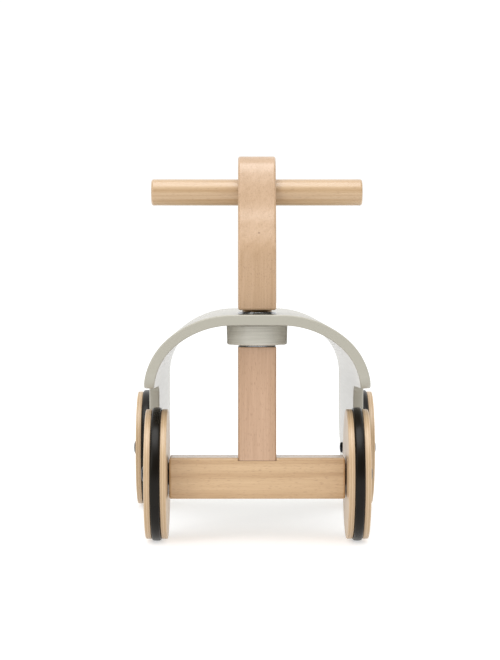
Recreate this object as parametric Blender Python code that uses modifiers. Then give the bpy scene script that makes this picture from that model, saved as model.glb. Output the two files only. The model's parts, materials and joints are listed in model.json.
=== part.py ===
"""Wooden toddler balance bike on four wheels.

A bent plywood saddle carries the two rear wheels on its legs. A steering assembly of head, stem and
front beam turns in it and carries the two front wheels. Units are metres, +Z is up, -Y is the front
and the ground is z = 0. Inside the model, y is measured behind the steering axis.
"""
import math

import bmesh
import bpy
from mathutils import Matrix, Vector

GAP = 0.0003                    # air between pieces that touch

# Stance
STEERING_AXIS_Y = -0.180        # world place of the steering axis
WHEELBASE = 0.330
STEERING_LIMIT = 25.0           # degrees to each side

# Wheels
WHEEL_RADIUS = 0.070
WHEEL_WIDTH = 0.023
DISC_RADIUS = 0.068
DISC_THICKNESS = 0.0065
DISC_ROUND = 0.0012
TYRE_SHOULDER = 0.0017
CORE_RADIUS = 0.059
BUSH_RADIUS = 0.008
AXLE_RADIUS = 0.005
WHEEL_STEPS = 36
BUSH_STEPS = 16

# Bent plywood saddle
SHELL_THICKNESS = 0.011
SEAT_HEIGHT = 0.238
CROWN_FLAT = 0.0255             # half width of the level strip along the top
CROWN_RADIUS = 0.103
CROWN_TURN = 40.0               # degrees that the crown arc turns before the tighter hip arc
HIP_RADIUS = 0.072
SHELL_FRONT = -0.045
SHELL_REAR = 0.430
APRON_BOTTOM = 0.162            # lower edge of the sides above the front wheels
APRON_DROP = 0.005              # how much lower that edge is where it meets the legs
LEG_FRONT = 0.093
LEG_BOTTOM = 0.032
CROWN_STEPS = 6
HIP_STEPS = 8

# Steering block and bearings
BLOCK_RADIUS = 0.032
BLOCK_TOP = 0.2265
BLOCK_BOTTOM = 0.206
SPINDLE_RADIUS = 0.007
STEERING_BUSH_RADIUS = 0.0095
THRUST_RADIUS = 0.020
THRUST_THICKNESS = 0.002
THRUST_RING_RADIUS = 0.0155
LOWER_WASHER_THICKNESS = 0.0014
STOP_PIN_RADIUS = 0.0025
STOP_PIN_REACH = 0.015          # from the steering axis to the pin

# Beech posts, beam and bar
POST_SIZE = 0.040
POST_ROUND = 0.0025
HEAD_BOTTOM = 0.2426
STEM_TOP = 0.204
BEAM_LENGTH = 0.184
BEAM_BOTTOM = 0.0455
BEAM_TOP = 0.0885
HOUSING_DEPTH = 0.003           # the stem is let into the beam by this much
BAR_RADIUS = 0.014
BAR_LENGTH = 0.224
BAR_Y = 0.032
BAR_Z = 0.367
BAR_CHAMFER = 0.002
SPINDLE_SEAT = 0.055            # length of spindle held in the stem and in the head

# Fasteners
SPACER_RADIUS = 0.012
SPACER_THICKNESS = 0.0009
HUB_WASHER_RADIUS = 0.007
HUB_WASHER_THICKNESS = 0.0008
BOLT_HEAD_RADIUS = 0.0085
BOLT_HEAD_HEIGHT = 0.0036
SLEEVE_HEAD_RADIUS = 0.0065
SLEEVE_HEAD_HEIGHT = 0.003
REAR_THREAD_RADIUS = 0.003
FRONT_THREAD_RADIUS = 0.004
INSERT_RADIUS = 0.006
INSERT_LENGTH = 0.024
GRUB_RADIUS = 0.004
HEAD_GRUB_Z = 0.262
STEM_GRUB_Z = 0.180
GRUB_RECESS = 0.0018            # depth of the grub screws below the posts' rear faces
BAR_SCREW_RADIUS = 0.0025
BAR_SCREW_HEAD_RADIUS = 0.0048
BAR_SCREW_HEAD_Y = 0.0592
BEAM_SCREW_X = 0.009
BEAM_SCREW_LENGTH = 0.070
BEAM_SCREW_RADIUS = 0.003
BEAM_SCREW_HEAD_RADIUS = 0.0065
SLEEVE_BORE_END = 0.119         # distance from the middle of the bike to the end of the sleeve's thread
REAR_SPACER_RADIUS = 0.009
FRONT_THREAD_LENGTH = 0.022

# The rider faces -Y, so the rider's right hand is on the -X side
SIDES = ((-1, "right"), (1, "left"))

# Places that follow from the dimensions above
LEG_OUTER_X = CROWN_FLAT + (CROWN_RADIUS - HIP_RADIUS) * math.sin(math.radians(CROWN_TURN)) + HIP_RADIUS
LEG_INNER_X = LEG_OUTER_X - SHELL_THICKNESS
FRONT_WHEEL_X = BEAM_LENGTH / 2 + SPACER_THICKNESS + 2 * GAP + WHEEL_WIDTH / 2
REAR_WHEEL_X = LEG_OUTER_X + HUB_WASHER_THICKNESS + 2 * GAP + WHEEL_WIDTH / 2

# Surface finishes: base colour, roughness, metallic
FINISHES = {
    "beech": ((0.62, 0.43, 0.27), 0.5, 0.0),
    "birch_ply": ((0.72, 0.56, 0.36), 0.5, 0.0),
    "grey_lacquer": ((0.46, 0.44, 0.39), 0.4, 0.0),
    "rubber": ((0.025, 0.022, 0.02), 0.65, 0.0),
    "steel": ((0.6, 0.6, 0.6), 0.25, 1.0),
    "black_steel": ((0.02, 0.02, 0.024), 0.35, 0.6),
    "bronze": ((0.45, 0.3, 0.18), 0.4, 1.0),
    "nylon": ((0.75, 0.74, 0.7), 0.5, 0.0),
}

# Turns that carry the modelling axis +Z to the axis a turned piece lies along
TURNS = {
    "+Z": (0.0, 0.0, 0.0),
    "-Z": (math.pi, 0.0, 0.0),
    "+Y": (-math.pi / 2, 0.0, 0.0),
    "+X": (0.0, math.pi / 2, 0.0),
    "-X": (0.0, -math.pi / 2, 0.0),
}

# Where the drawing plane of an outline lies for each axis it is extruded along
PLANES = {
    "X": Matrix(((0, 0, 1, 0), (1, 0, 0, 0), (0, 1, 0, 0), (0, 0, 0, 1))),
    "Y": Matrix(((1, 0, 0, 0), (0, 0, -1, 0), (0, 1, 0, 0), (0, 0, 0, 1))),
    "Z": Matrix.Identity(4),
}


def clear_scene():
    """Remove every object and start the two collections."""
    for item in list(bpy.data.objects):
        bpy.data.objects.remove(item, do_unlink=True)
    collections = []
    for name in ("balance_bike", "cutters"):
        collection = bpy.data.collections.new(name)
        bpy.context.scene.collection.children.link(collection)
        collections.append(collection)
    return collections


PARTS, CUTTERS = clear_scene()


# --- Tools for making pieces ---------------------------------------------------------------------

def material(name, finish):
    """A Principled material with one of the finishes."""
    colour, roughness, metallic = FINISHES[finish]
    made = bpy.data.materials.new(name)
    made.use_nodes = True
    shader = made.node_tree.nodes["Principled BSDF"]
    shader.inputs["Base Color"].default_value = (*colour, 1.0)
    shader.inputs["Roughness"].default_value = roughness
    shader.inputs["Metallic"].default_value = metallic
    return made


def pivot(name, location, parent=None):
    """An empty that pieces hang on, at a joint's axis."""
    empty = bpy.data.objects.new(name, None)
    empty.location = location
    empty.parent = parent
    PARTS.objects.link(empty)
    return empty


def add_piece(name, mesh, finish, parent):
    """Put a mesh in the scene as a named piece, or as a cutter where it has no finish."""
    piece = bpy.data.objects.new(name, mesh)
    piece.parent = parent
    if finish:
        mesh.materials.append(material(name, finish))
        PARTS.objects.link(piece)
    else:
        piece.hide_render = True
        piece.display_type = "WIRE"
        CUTTERS.objects.link(piece)
    return piece


def block(name, low, high, finish, parent, rounding=0.0):
    """A rectangular piece between two corners, with its edges rounded."""
    mesh = bpy.data.meshes.new(name)
    shape = bmesh.new()
    bmesh.ops.create_cube(shape, size=1.0)
    size = Vector(high) - Vector(low)
    bmesh.ops.scale(shape, vec=size, verts=shape.verts)
    bmesh.ops.translate(shape, vec=Vector(low) + size / 2, verts=shape.verts)
    shape.to_mesh(mesh)
    shape.free()
    piece = add_piece(name, mesh, finish, parent)
    if rounding:
        round_edges(piece, rounding)
    return piece


def round_edges(piece, width):
    """Round the sharp edges of a piece."""
    bevel = piece.modifiers.new("rounding", "BEVEL")
    bevel.width = width
    bevel.segments = 2
    bevel.limit_method = "ANGLE"
    bevel.angle_limit = math.radians(60)


def turned(name, profile, finish, parent, axis="+Z", location=(0, 0, 0), steps=BUSH_STEPS, ring=False):
    """Turn a profile of (radius, height) pairs; a ring's profile closes on itself."""
    count = len(profile)
    edges = [(index, index + 1) for index in range(count - 1)]
    if ring:
        edges.append((count - 1, 0))
    mesh = bpy.data.meshes.new(name)
    mesh.from_pydata([(radius, 0.0, height) for radius, height in profile], edges, [])
    piece = add_piece(name, mesh, finish, parent)
    piece.location = location
    piece.rotation_euler = TURNS[axis]
    screw = piece.modifiers.new("turning", "SCREW")
    screw.steps = steps
    screw.render_steps = steps
    screw.use_merge_vertices = True
    screw.merge_threshold = 0.00001
    screw.use_smooth_shade = True
    return piece


def ring(name, outer, inner, low, high, finish, parent, **placing):
    """A washer, bush or sleeve of rectangular section."""
    profile = [(outer, high), (outer, low), (inner, low), (inner, high)]
    return turned(name, profile, finish, parent, ring=True, **placing)


def rod(name, radius, low, high, finish, parent, **placing):
    """A plain round bar between two heights."""
    profile = [(0.0, high), (radius, high), (radius, low), (0.0, low)]
    return turned(name, profile, finish, parent, **placing)


def prism(name, outline, low, high, along, finish, parent):
    """Fill a closed outline and extrude it along an axis, as a mesh ready for cutting."""
    curve = bpy.data.curves.new(name, "CURVE")
    curve.dimensions = "2D"
    curve.fill_mode = "BOTH"
    curve.extrude = (high - low) / 2
    spline = curve.splines.new("POLY")
    spline.points.add(len(outline) - 1)
    for point, (across, up) in zip(spline.points, outline):
        point.co = (across, up, 0.0, 1.0)
    spline.use_cyclic_u = True
    drawing = bpy.data.objects.new(name, curve)
    CUTTERS.objects.link(drawing)
    graph = bpy.context.evaluated_depsgraph_get()
    mesh = bpy.data.meshes.new_from_object(drawing.evaluated_get(graph))
    bpy.data.objects.remove(drawing)

    middle = (low + high) / 2
    lift = -middle if along == "Y" else middle
    mesh.transform(PLANES[along] @ Matrix.Translation((0.0, 0.0, lift)))
    shape = bmesh.new()
    shape.from_mesh(mesh)
    bmesh.ops.remove_doubles(shape, verts=shape.verts, dist=0.00001)
    bmesh.ops.recalc_face_normals(shape, faces=shape.faces)
    shape.to_mesh(mesh)
    shape.free()
    return add_piece(name, mesh, finish, parent)


def combine(piece, tool, operation="DIFFERENCE"):
    """Cut a piece with a tool, or keep only what lies inside the tool."""
    boolean = piece.modifiers.new(tool.name, "BOOLEAN")
    boolean.operation = operation
    boolean.solver = "EXACT"
    boolean.object = tool


def bore(piece, name, radius, low, high, axis="+Z", location=(0, 0, 0)):
    """Drill a round hole in a piece between two heights along an axis."""
    tool = rod(name, radius, low, high, None, piece.parent, axis=axis, location=location)
    combine(piece, tool)


def rounded_outline(corners, steps=6):
    """A polygon whose corners (across, up, radius) are rounded with arcs."""
    outline = []
    for index, (across, up, radius) in enumerate(corners):
        corner = Vector((across, up))
        before = (Vector(corners[index - 1][:2]) - corner).normalized()
        after = (Vector(corners[(index + 1) % len(corners)][:2]) - corner).normalized()
        if radius == 0:
            outline.append((across, up))
            continue
        half = before.angle(after) / 2
        centre = corner + (before + after).normalized() * radius / math.sin(half)
        spoke = corner + before * radius / math.tan(half) - centre
        side = 1 if before.cross(after) < 0 else -1
        for step in range(steps + 1):
            turn = side * (math.pi - 2 * half) * step / steps
            outline.append(tuple(centre + Matrix.Rotation(turn, 2) @ spoke))
    return outline


def smooth_path(points, steps=4):
    """A smooth curve through points, each stretch leaving along its neighbours' chord."""
    path = [Vector(point) for point in points]
    curve = []
    for index in range(len(path) - 1):
        start, end = path[index], path[index + 1]
        before = path[max(index - 1, 0)]
        beyond = path[min(index + 2, len(path) - 1)]
        for step in range(steps):
            t = step / steps
            slope_in, slope_out = (end - before) / 2, (beyond - start) / 2
            curve.append(tuple(
                (2 * t**3 - 3 * t**2 + 1) * start + (t**3 - 2 * t**2 + t) * slope_in
                + (3 * t**2 - 2 * t**3) * end + (t**3 - t**2) * slope_out
            ))
    curve.append(tuple(path[-1]))
    return curve


def domed_head(radius, height, base):
    """Profile of a low domed bolt head that stands on a base height."""
    return [
        (0.0, base + height),
        (radius * 0.5, base + height * 0.88),
        (radius * 0.85, base + height * 0.5),
        (radius, base + height * 0.12),
        (radius, base),
    ]


# --- Saddle --------------------------------------------------------------------------------------

def sheet_half(depth):
    """One half of the bent sheet's section from crown to foot, at a depth below its outer skin."""
    turn = math.radians(CROWN_TURN)
    crown_centre = Vector((CROWN_FLAT, SEAT_HEIGHT - CROWN_RADIUS))
    hip_centre = crown_centre + (CROWN_RADIUS - HIP_RADIUS) * Vector((math.sin(turn), math.cos(turn)))
    points = []
    for step in range(CROWN_STEPS + 1):
        angle = turn * step / CROWN_STEPS
        points.append(crown_centre + (CROWN_RADIUS - depth) * Vector((math.sin(angle), math.cos(angle))))
    for step in range(1, HIP_STEPS + 1):
        angle = turn + (math.pi / 2 - turn) * step / HIP_STEPS
        points.append(hip_centre + (HIP_RADIUS - depth) * Vector((math.sin(angle), math.cos(angle))))
    points.append(Vector((points[-1].x, 0.0)))
    return points


def make_seat_shell(parent):
    """The one-piece saddle: a bent sheet trimmed to the side view of seat and legs."""
    outer = sheet_half(0.0)
    inner = sheet_half(SHELL_THICKNESS)
    right = outer + inner[::-1]
    left = [(-point.x, point.y) for point in inner + outer[::-1]]
    section = [tuple(point) for point in right] + left
    shell = prism("seat_shell", section, SHELL_FRONT - 0.01, SHELL_REAR + 0.01, "Y", "grey_lacquer", parent)

    above = SEAT_HEIGHT + 0.02
    side_view = rounded_outline([
        (SHELL_FRONT, above, 0),
        (SHELL_FRONT, APRON_BOTTOM, 0.013),
        (LEG_FRONT, APRON_BOTTOM - APRON_DROP, 0.012),
        (LEG_FRONT, 0.112, 0.045),
        (WHEELBASE - 0.030, LEG_BOTTOM, 0.060),
        (WHEELBASE + 0.038, LEG_BOTTOM, 0.045),
        (SHELL_REAR, 0.100, 0.045),
        (SHELL_REAR, above, 0),
    ])
    trim = prism("side_view_trim", side_view, -0.2, 0.2, "X", None, parent)
    combine(shell, trim, "INTERSECT")
    bore(shell, "steering_bore", STEERING_BUSH_RADIUS + GAP, 0.2, 0.25)
    bore(shell, "rear_axle_bore", AXLE_RADIUS + GAP, -0.2, 0.2, axis="+X",
         location=(0, WHEELBASE, WHEEL_RADIUS))
    return shell


def make_steering_block(parent):
    """The turned block under the saddle, with the arc groove that the stop pin runs in."""
    profile = [
        (0.0, BLOCK_TOP),
        (BLOCK_RADIUS, BLOCK_TOP),
        (BLOCK_RADIUS - 0.0005, BLOCK_BOTTOM + 0.0015),
        (BLOCK_RADIUS - 0.002, BLOCK_BOTTOM),
        (0.0, BLOCK_BOTTOM),
    ]
    piece = turned("steering_block", profile, "grey_lacquer", parent, steps=32)
    bore(piece, "block_bore", STEERING_BUSH_RADIUS + GAP, BLOCK_BOTTOM - 0.01, BLOCK_TOP + 0.01)

    half_width = STOP_PIN_RADIUS + GAP
    limit = math.radians(STEERING_LIMIT)
    groove = []
    for radius, start, end in (
        (STOP_PIN_REACH + half_width, -limit, limit),
        (STOP_PIN_REACH - half_width, limit, -limit),
    ):
        for step in range(9):
            angle = start + (end - start) * step / 8
            groove.append((radius * math.sin(angle), radius * math.cos(angle)))
        centre = Vector((math.sin(end), math.cos(end))) * STOP_PIN_REACH
        outward = math.copysign(1.0, end)
        for step in range(1, 6):
            swing = math.pi * step / 6
            spoke = Vector((math.sin(end), math.cos(end))) * math.cos(swing) * outward
            spoke += Vector((math.cos(end), -math.sin(end))) * math.sin(swing) * outward
            groove.append(tuple(centre + spoke * half_width))
    tool = prism("stop_groove", groove, BLOCK_BOTTOM - 0.01, BLOCK_BOTTOM + 0.008, "Z", None, parent)
    combine(piece, tool)
    return piece


def make_bearings(frame, steering):
    """Bushes and thrust washers that the spindle turns in."""
    bearing_bore = SPINDLE_RADIUS + GAP
    for name, low, high in (("upper", BLOCK_TOP + GAP, SEAT_HEIGHT), ("lower", BLOCK_BOTTOM, BLOCK_TOP)):
        ring(f"steering_bush_{name}", STEERING_BUSH_RADIUS, bearing_bore, low, high, "nylon", frame, steps=24)
    thrust_top = SEAT_HEIGHT + GAP + THRUST_THICKNESS
    ring("thrust_washer_upper", THRUST_RADIUS, bearing_bore, SEAT_HEIGHT + GAP, thrust_top, "steel", frame,
         steps=32)
    ring("thrust_ring", THRUST_RING_RADIUS, bearing_bore, thrust_top + GAP, HEAD_BOTTOM - GAP, "bronze",
         steering, steps=32)
    washer = ring("thrust_washer_lower", THRUST_RADIUS - 0.0005, bearing_bore, STEM_TOP + GAP,
                  STEM_TOP + GAP + LOWER_WASHER_THICKNESS, "steel", steering, steps=32)
    bore(washer, "washer_pin_bore", STOP_PIN_RADIUS + GAP, 0.19, 0.22, location=(0, STOP_PIN_REACH, 0))


# --- Steering assembly ---------------------------------------------------------------------------

def make_steering_head(parent):
    """The curved upper post that holds the bar."""
    front = [(-0.021, HEAD_BOTTOM), (-0.0205, 0.275), (-0.019, 0.305), (-0.0095, 0.331), (0.0, 0.352),
             (0.0095, 0.379), (0.0195, 0.397), (0.036, 0.4055)]
    back = [(0.036, 0.4055), (0.0535, 0.397), (0.0622, 0.378), (0.0545, 0.353), (0.0385, 0.328),
            (0.0295, 0.300), (0.0245, 0.266), (0.021, HEAD_BOTTOM)]
    outline = smooth_path(front + back[1:], steps=3)
    head = prism("steering_head", outline, -POST_SIZE / 2, POST_SIZE / 2, "X", "beech", parent)
    round_edges(head, POST_ROUND)
    bore(head, "bar_bore", BAR_RADIUS + GAP, -0.05, 0.05, axis="+X", location=(0, BAR_Y, BAR_Z))
    bore(head, "head_spindle_bore", SPINDLE_RADIUS + GAP, 0.22, HEAD_BOTTOM + SPINDLE_SEAT + GAP)
    bore(head, "head_grub_bore", GRUB_RADIUS + GAP, 0.0, 0.05, axis="+Y", location=(0, 0, HEAD_GRUB_Z))
    bore(head, "bar_screw_bore", BAR_SCREW_RADIUS + GAP, BAR_Y, 0.08, axis="+Y", location=(0, 0, BAR_Z))
    bore(head, "bar_screw_recess", BAR_SCREW_HEAD_RADIUS + GAP, BAR_SCREW_HEAD_Y - 0.0032, 0.08, axis="+Y",
         location=(0, 0, BAR_Z))
    return head


def make_handlebar(parent):
    """The round bar through the head, and the screw that holds it from behind."""
    end = BAR_LENGTH / 2
    profile = [(0.0, end), (BAR_RADIUS - BAR_CHAMFER, end), (BAR_RADIUS, end - BAR_CHAMFER),
               (BAR_RADIUS, BAR_CHAMFER - end), (BAR_RADIUS - BAR_CHAMFER, -end), (0.0, -end)]
    bar = turned("handlebar", profile, "beech", parent, axis="+X", location=(0, BAR_Y, BAR_Z), steps=28)
    bore(bar, "bar_screw_pilot", BAR_SCREW_RADIUS + GAP, -0.004, 0.02, axis="+Y", location=(0, BAR_Y, BAR_Z))
    profile = [(0.0, BAR_SCREW_HEAD_Y), (BAR_SCREW_HEAD_RADIUS, BAR_SCREW_HEAD_Y),
               (BAR_SCREW_RADIUS, BAR_SCREW_HEAD_Y - 0.0026), (BAR_SCREW_RADIUS, BAR_Y), (0.0, BAR_Y - 0.003)]
    turned("handlebar_screw", profile, "steel", parent, axis="+Y", location=(0, 0, BAR_Z), steps=16)


def make_stem(parent):
    """The lower post, its steel spindle and stop pin, and the grub screws that grip the spindle."""
    half = POST_SIZE / 2
    stem = block("stem_post", (-half, -half, BEAM_TOP - HOUSING_DEPTH), (half, half, STEM_TOP), "beech",
                 parent, POST_ROUND)
    spindle_low = STEM_TOP - SPINDLE_SEAT
    pin_low = STEM_TOP - 0.012
    bore(stem, "stem_spindle_bore", SPINDLE_RADIUS + GAP, spindle_low - GAP, 0.22)
    bore(stem, "stem_grub_bore", GRUB_RADIUS + GAP, 0.0, 0.05, axis="+Y", location=(0, 0, STEM_GRUB_Z))
    bore(stem, "stem_pin_bore", STOP_PIN_RADIUS + GAP, pin_low - GAP, 0.22, location=(0, STOP_PIN_REACH, 0))
    for side in (-1, 1):
        bore(stem, "stem_screw_bore", BEAM_SCREW_RADIUS + GAP, 0.08, BEAM_BOTTOM + BEAM_SCREW_LENGTH + 0.001,
             location=(side * BEAM_SCREW_X, 0, 0))
    rod("steering_spindle", SPINDLE_RADIUS, spindle_low, HEAD_BOTTOM + SPINDLE_SEAT, "steel", parent,
        steps=24)
    rod("steering_stop_pin", STOP_PIN_RADIUS, pin_low, BLOCK_BOTTOM + 0.007, "steel", parent,
        location=(0, STOP_PIN_REACH, 0), steps=12)
    grip = SPINDLE_RADIUS + GAP
    rod("head_grub_screw", GRUB_RADIUS, grip, 0.0243 - GRUB_RECESS, "black_steel", parent, axis="+Y",
        location=(0, 0, HEAD_GRUB_Z), steps=16)
    rod("stem_grub_screw", GRUB_RADIUS, grip, half - GRUB_RECESS, "black_steel", parent, axis="+Y",
        location=(0, 0, STEM_GRUB_Z), steps=16)


def make_beam(parent):
    """The cross beam under the stem, with the screws that join them and its axle inserts."""
    half = POST_SIZE / 2
    reach = BEAM_LENGTH / 2
    beam = block("front_beam", (-reach, -half, BEAM_BOTTOM), (reach, half, BEAM_TOP), "beech", parent,
                 POST_ROUND)
    slot = half + GAP
    floor = BEAM_TOP - HOUSING_DEPTH - GAP
    housing = block("stem_housing", (-slot, -0.05, floor), (slot, 0.05, BEAM_TOP + 0.01), None, parent)
    combine(beam, housing)
    profile = [(0.0, 0.0), (BEAM_SCREW_HEAD_RADIUS, 0.0), (BEAM_SCREW_HEAD_RADIUS, -0.003),
               (BEAM_SCREW_RADIUS, -0.003), (BEAM_SCREW_RADIUS, 0.003 - BEAM_SCREW_LENGTH),
               (0.0, -BEAM_SCREW_LENGTH)]
    for side, word in SIDES:
        place = (side * BEAM_SCREW_X, 0, 0)
        bore(beam, "beam_screw_bore", BEAM_SCREW_RADIUS + GAP, 0.04, 0.1, location=place)
        bore(beam, "beam_screw_recess", BEAM_SCREW_HEAD_RADIUS + GAP, 0.04, BEAM_BOTTOM + 0.004,
             location=place)
        turned(f"beam_screw_{word}", profile, "steel", parent, axis="-Z",
               location=(place[0], 0, BEAM_BOTTOM + 0.0005), steps=12)
        out = "+X" if side > 0 else "-X"
        axle = dict(axis=out, location=(0, 0, WHEEL_RADIUS))
        bore(beam, "insert_bore", INSERT_RADIUS + GAP, reach - INSERT_LENGTH - 2 * GAP, reach + 0.01, **axle)
        ring(f"axle_insert_{word}", INSERT_RADIUS, FRONT_THREAD_RADIUS + GAP, reach - INSERT_LENGTH - GAP,
             reach - GAP, "steel", parent, **axle)


# --- Wheels and axles ----------------------------------------------------------------------------

def make_front_axle(word, out, parent):
    """Shoulder bolt, spacer and hub washer of one front wheel."""
    axle = dict(axis=out, location=(0, 0, WHEEL_RADIUS))
    beam_end = BEAM_LENGTH / 2
    wheel_out = FRONT_WHEEL_X + WHEEL_WIDTH / 2
    seat = wheel_out + HUB_WASHER_THICKNESS + 2 * GAP
    ring(f"front_spacer_{word}", SPACER_RADIUS, AXLE_RADIUS + GAP, beam_end + GAP,
         beam_end + GAP + SPACER_THICKNESS, "black_steel", parent, **axle)
    ring(f"front_hub_washer_{word}", HUB_WASHER_RADIUS, AXLE_RADIUS + GAP, wheel_out + GAP, seat - GAP,
         "steel", parent, **axle)
    profile = domed_head(BOLT_HEAD_RADIUS, BOLT_HEAD_HEIGHT, seat) + [
        (AXLE_RADIUS, seat), (AXLE_RADIUS, beam_end + GAP), (FRONT_THREAD_RADIUS, beam_end + GAP),
        (FRONT_THREAD_RADIUS, beam_end - FRONT_THREAD_LENGTH), (0.0, beam_end - FRONT_THREAD_LENGTH)]
    turned(f"front_axle_bolt_{word}", profile, "black_steel", parent, **axle)


def make_rear_axle(word, out, parent):
    """Sleeve nut through one leg, its bolt from outside, and the washers each side of the wheel."""
    axle = dict(axis=out, location=(0, WHEELBASE, WHEEL_RADIUS))
    wheel_in = REAR_WHEEL_X - WHEEL_WIDTH / 2
    wheel_out = REAR_WHEEL_X + WHEEL_WIDTH / 2
    seat = wheel_out + HUB_WASHER_THICKNESS + 2 * GAP
    ring(f"rear_spacer_{word}", REAR_SPACER_RADIUS, AXLE_RADIUS + GAP, LEG_OUTER_X + GAP, wheel_in - GAP,
         "black_steel", parent, **axle)
    ring(f"rear_hub_washer_{word}", HUB_WASHER_RADIUS, REAR_THREAD_RADIUS + GAP, wheel_out + GAP, seat - GAP,
         "steel", parent, **axle)
    face = LEG_INNER_X - GAP
    crown = [(radius, face - (height - face)) for radius, height in
             domed_head(SLEEVE_HEAD_RADIUS, SLEEVE_HEAD_HEIGHT, face)]
    thread = REAR_THREAD_RADIUS + GAP
    sleeve = [(0.0, SLEEVE_BORE_END), (thread, SLEEVE_BORE_END), (thread, wheel_out - GAP),
              (AXLE_RADIUS, wheel_out - GAP), (AXLE_RADIUS, face)] + crown[::-1]
    turned(f"rear_axle_sleeve_{word}", sleeve, "black_steel", parent, **axle)
    profile = domed_head(BOLT_HEAD_RADIUS, BOLT_HEAD_HEIGHT, seat) + [
        (REAR_THREAD_RADIUS, seat), (REAR_THREAD_RADIUS, SLEEVE_BORE_END + 0.002),
        (0.0, SLEEVE_BORE_END + 0.002)]
    turned(f"rear_axle_bolt_{word}", profile, "black_steel", parent, **axle)


def make_wheel(word, out, hub):
    """One wheel about its hub: two plywood discs, a core, a tyre and a bush."""
    half = WHEEL_WIDTH / 2
    bush_hole = BUSH_RADIUS + GAP
    inside = half - DISC_THICKNESS
    for place, low, high in (("outer", inside, half), ("inner", -half, -inside)):
        profile = [(DISC_RADIUS - DISC_ROUND, high), (DISC_RADIUS, high - DISC_ROUND),
                   (DISC_RADIUS, low + DISC_ROUND), (DISC_RADIUS - DISC_ROUND, low),
                   (bush_hole, low), (bush_hole, high)]
        turned(f"{word}_disc_{place}", profile, "birch_ply", hub, axis=out, steps=WHEEL_STEPS, ring=True)
    edge = inside - GAP
    profile = [(WHEEL_RADIUS - TYRE_SHOULDER, edge), (WHEEL_RADIUS, edge - TYRE_SHOULDER),
               (WHEEL_RADIUS, TYRE_SHOULDER - edge), (WHEEL_RADIUS - TYRE_SHOULDER, -edge),
               (CORE_RADIUS + GAP, -edge), (CORE_RADIUS + GAP, edge)]
    turned(f"{word}_tyre", profile, "rubber", hub, axis=out, steps=WHEEL_STEPS, ring=True)
    ring(f"{word}_core", CORE_RADIUS, bush_hole, -edge, edge, "birch_ply", hub, axis=out, steps=WHEEL_STEPS)
    ring(f"{word}_bush", BUSH_RADIUS, AXLE_RADIUS + GAP, -half, half, "nylon", hub, axis=out)


def main():
    """Build the bike: the fixed saddle, the steering assembly and the four wheels."""
    frame = pivot("frame_datum", (0, STEERING_AXIS_Y, 0))
    steering = pivot("steering_pivot", (0, STEERING_AXIS_Y, 0))
    make_seat_shell(frame)
    make_steering_block(frame)
    make_bearings(frame, steering)
    make_steering_head(steering)
    make_handlebar(steering)
    make_stem(steering)
    make_beam(steering)
    for side, word in SIDES:
        out = "+X" if side > 0 else "-X"
        make_front_axle(word, out, steering)
        make_rear_axle(word, out, frame)
        front_hub = pivot(f"front_hub_{word}", (side * FRONT_WHEEL_X, 0, WHEEL_RADIUS), steering)
        rear_hub = pivot(f"rear_hub_{word}", (side * REAR_WHEEL_X, WHEELBASE, WHEEL_RADIUS), frame)
        make_wheel(f"front_wheel_{word}", out, front_hub)
        make_wheel(f"rear_wheel_{word}", out, rear_hub)


main()
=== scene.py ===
"""Looks of a wooden toddler balance bike on four wheels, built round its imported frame.

Every piece is placed from the frame's boxes and joints. Lengths are metres, +Z is up and the front of the
bike faces -Y. Shapes are profiles turned about an axis, outlines thickened into slabs, or the developed
blank of the saddle bent along its section, all worked out as whole numpy arrays.
"""

from __future__ import annotations

import json
import logging
import math
from collections.abc import Iterable, Sequence
from dataclasses import dataclass, field
from enum import Enum
from typing import Any

import bpy
import numpy as np
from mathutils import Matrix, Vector


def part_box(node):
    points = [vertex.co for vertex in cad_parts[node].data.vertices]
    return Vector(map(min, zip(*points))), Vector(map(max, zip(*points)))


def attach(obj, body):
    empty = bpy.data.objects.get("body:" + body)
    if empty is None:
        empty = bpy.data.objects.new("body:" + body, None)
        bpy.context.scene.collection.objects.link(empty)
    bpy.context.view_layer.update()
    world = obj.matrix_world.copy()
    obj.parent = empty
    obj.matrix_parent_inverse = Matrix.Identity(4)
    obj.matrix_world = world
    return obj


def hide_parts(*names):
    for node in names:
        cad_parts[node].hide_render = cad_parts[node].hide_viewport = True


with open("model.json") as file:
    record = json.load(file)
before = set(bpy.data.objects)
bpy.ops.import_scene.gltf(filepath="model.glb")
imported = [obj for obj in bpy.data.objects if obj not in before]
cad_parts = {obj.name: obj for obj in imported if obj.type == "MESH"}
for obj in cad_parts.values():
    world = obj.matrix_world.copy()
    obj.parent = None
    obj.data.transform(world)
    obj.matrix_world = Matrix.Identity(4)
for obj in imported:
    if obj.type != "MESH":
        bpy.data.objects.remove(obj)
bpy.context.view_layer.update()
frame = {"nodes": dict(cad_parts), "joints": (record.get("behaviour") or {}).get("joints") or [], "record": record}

JOINTS: dict[str, dict[str, Any]] = {joint["name"]: joint for joint in frame["joints"]}
MM = 0.001
AXLE_BORE = 5.3 * MM                # radius of every hole over a 10 mm axle or sleeve
SMOOTH_BELOW = math.radians(38)     # sharper edges are shaded as edges
WHITE = (1.0, 1.0, 1.0, 1.0)
Array = np.ndarray
Tree = bpy.types.NodeTree
Socket = bpy.types.NodeSocket

logging.basicConfig(level=logging.INFO, format="%(levelname)s %(message)s")
log = logging.getLogger("balance_bike")


# --- Colours and node tools ----------------------------------------------------------------------

def linear(hex_colour: str) -> tuple[float, float, float, float]:
    """Turn an sRGB hex colour into linear RGBA.

    Args:
        hex_colour: Six hex digits, such as "D1B192".

    Returns:
        Linear red, green and blue with alpha 1.
    """
    channels = [int(hex_colour[index:index + 2], 16) / 255 for index in (0, 2, 4)]
    lifted = [c / 12.92 if c <= 0.04045 else ((c + 0.055) / 1.055) ** 2.4 for c in channels]
    return (*lifted, 1.0)


def grey(level: float) -> tuple[float, float, float, float]:
    """A linear grey with alpha 1."""
    return (level, level, level, 1.0)


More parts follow.
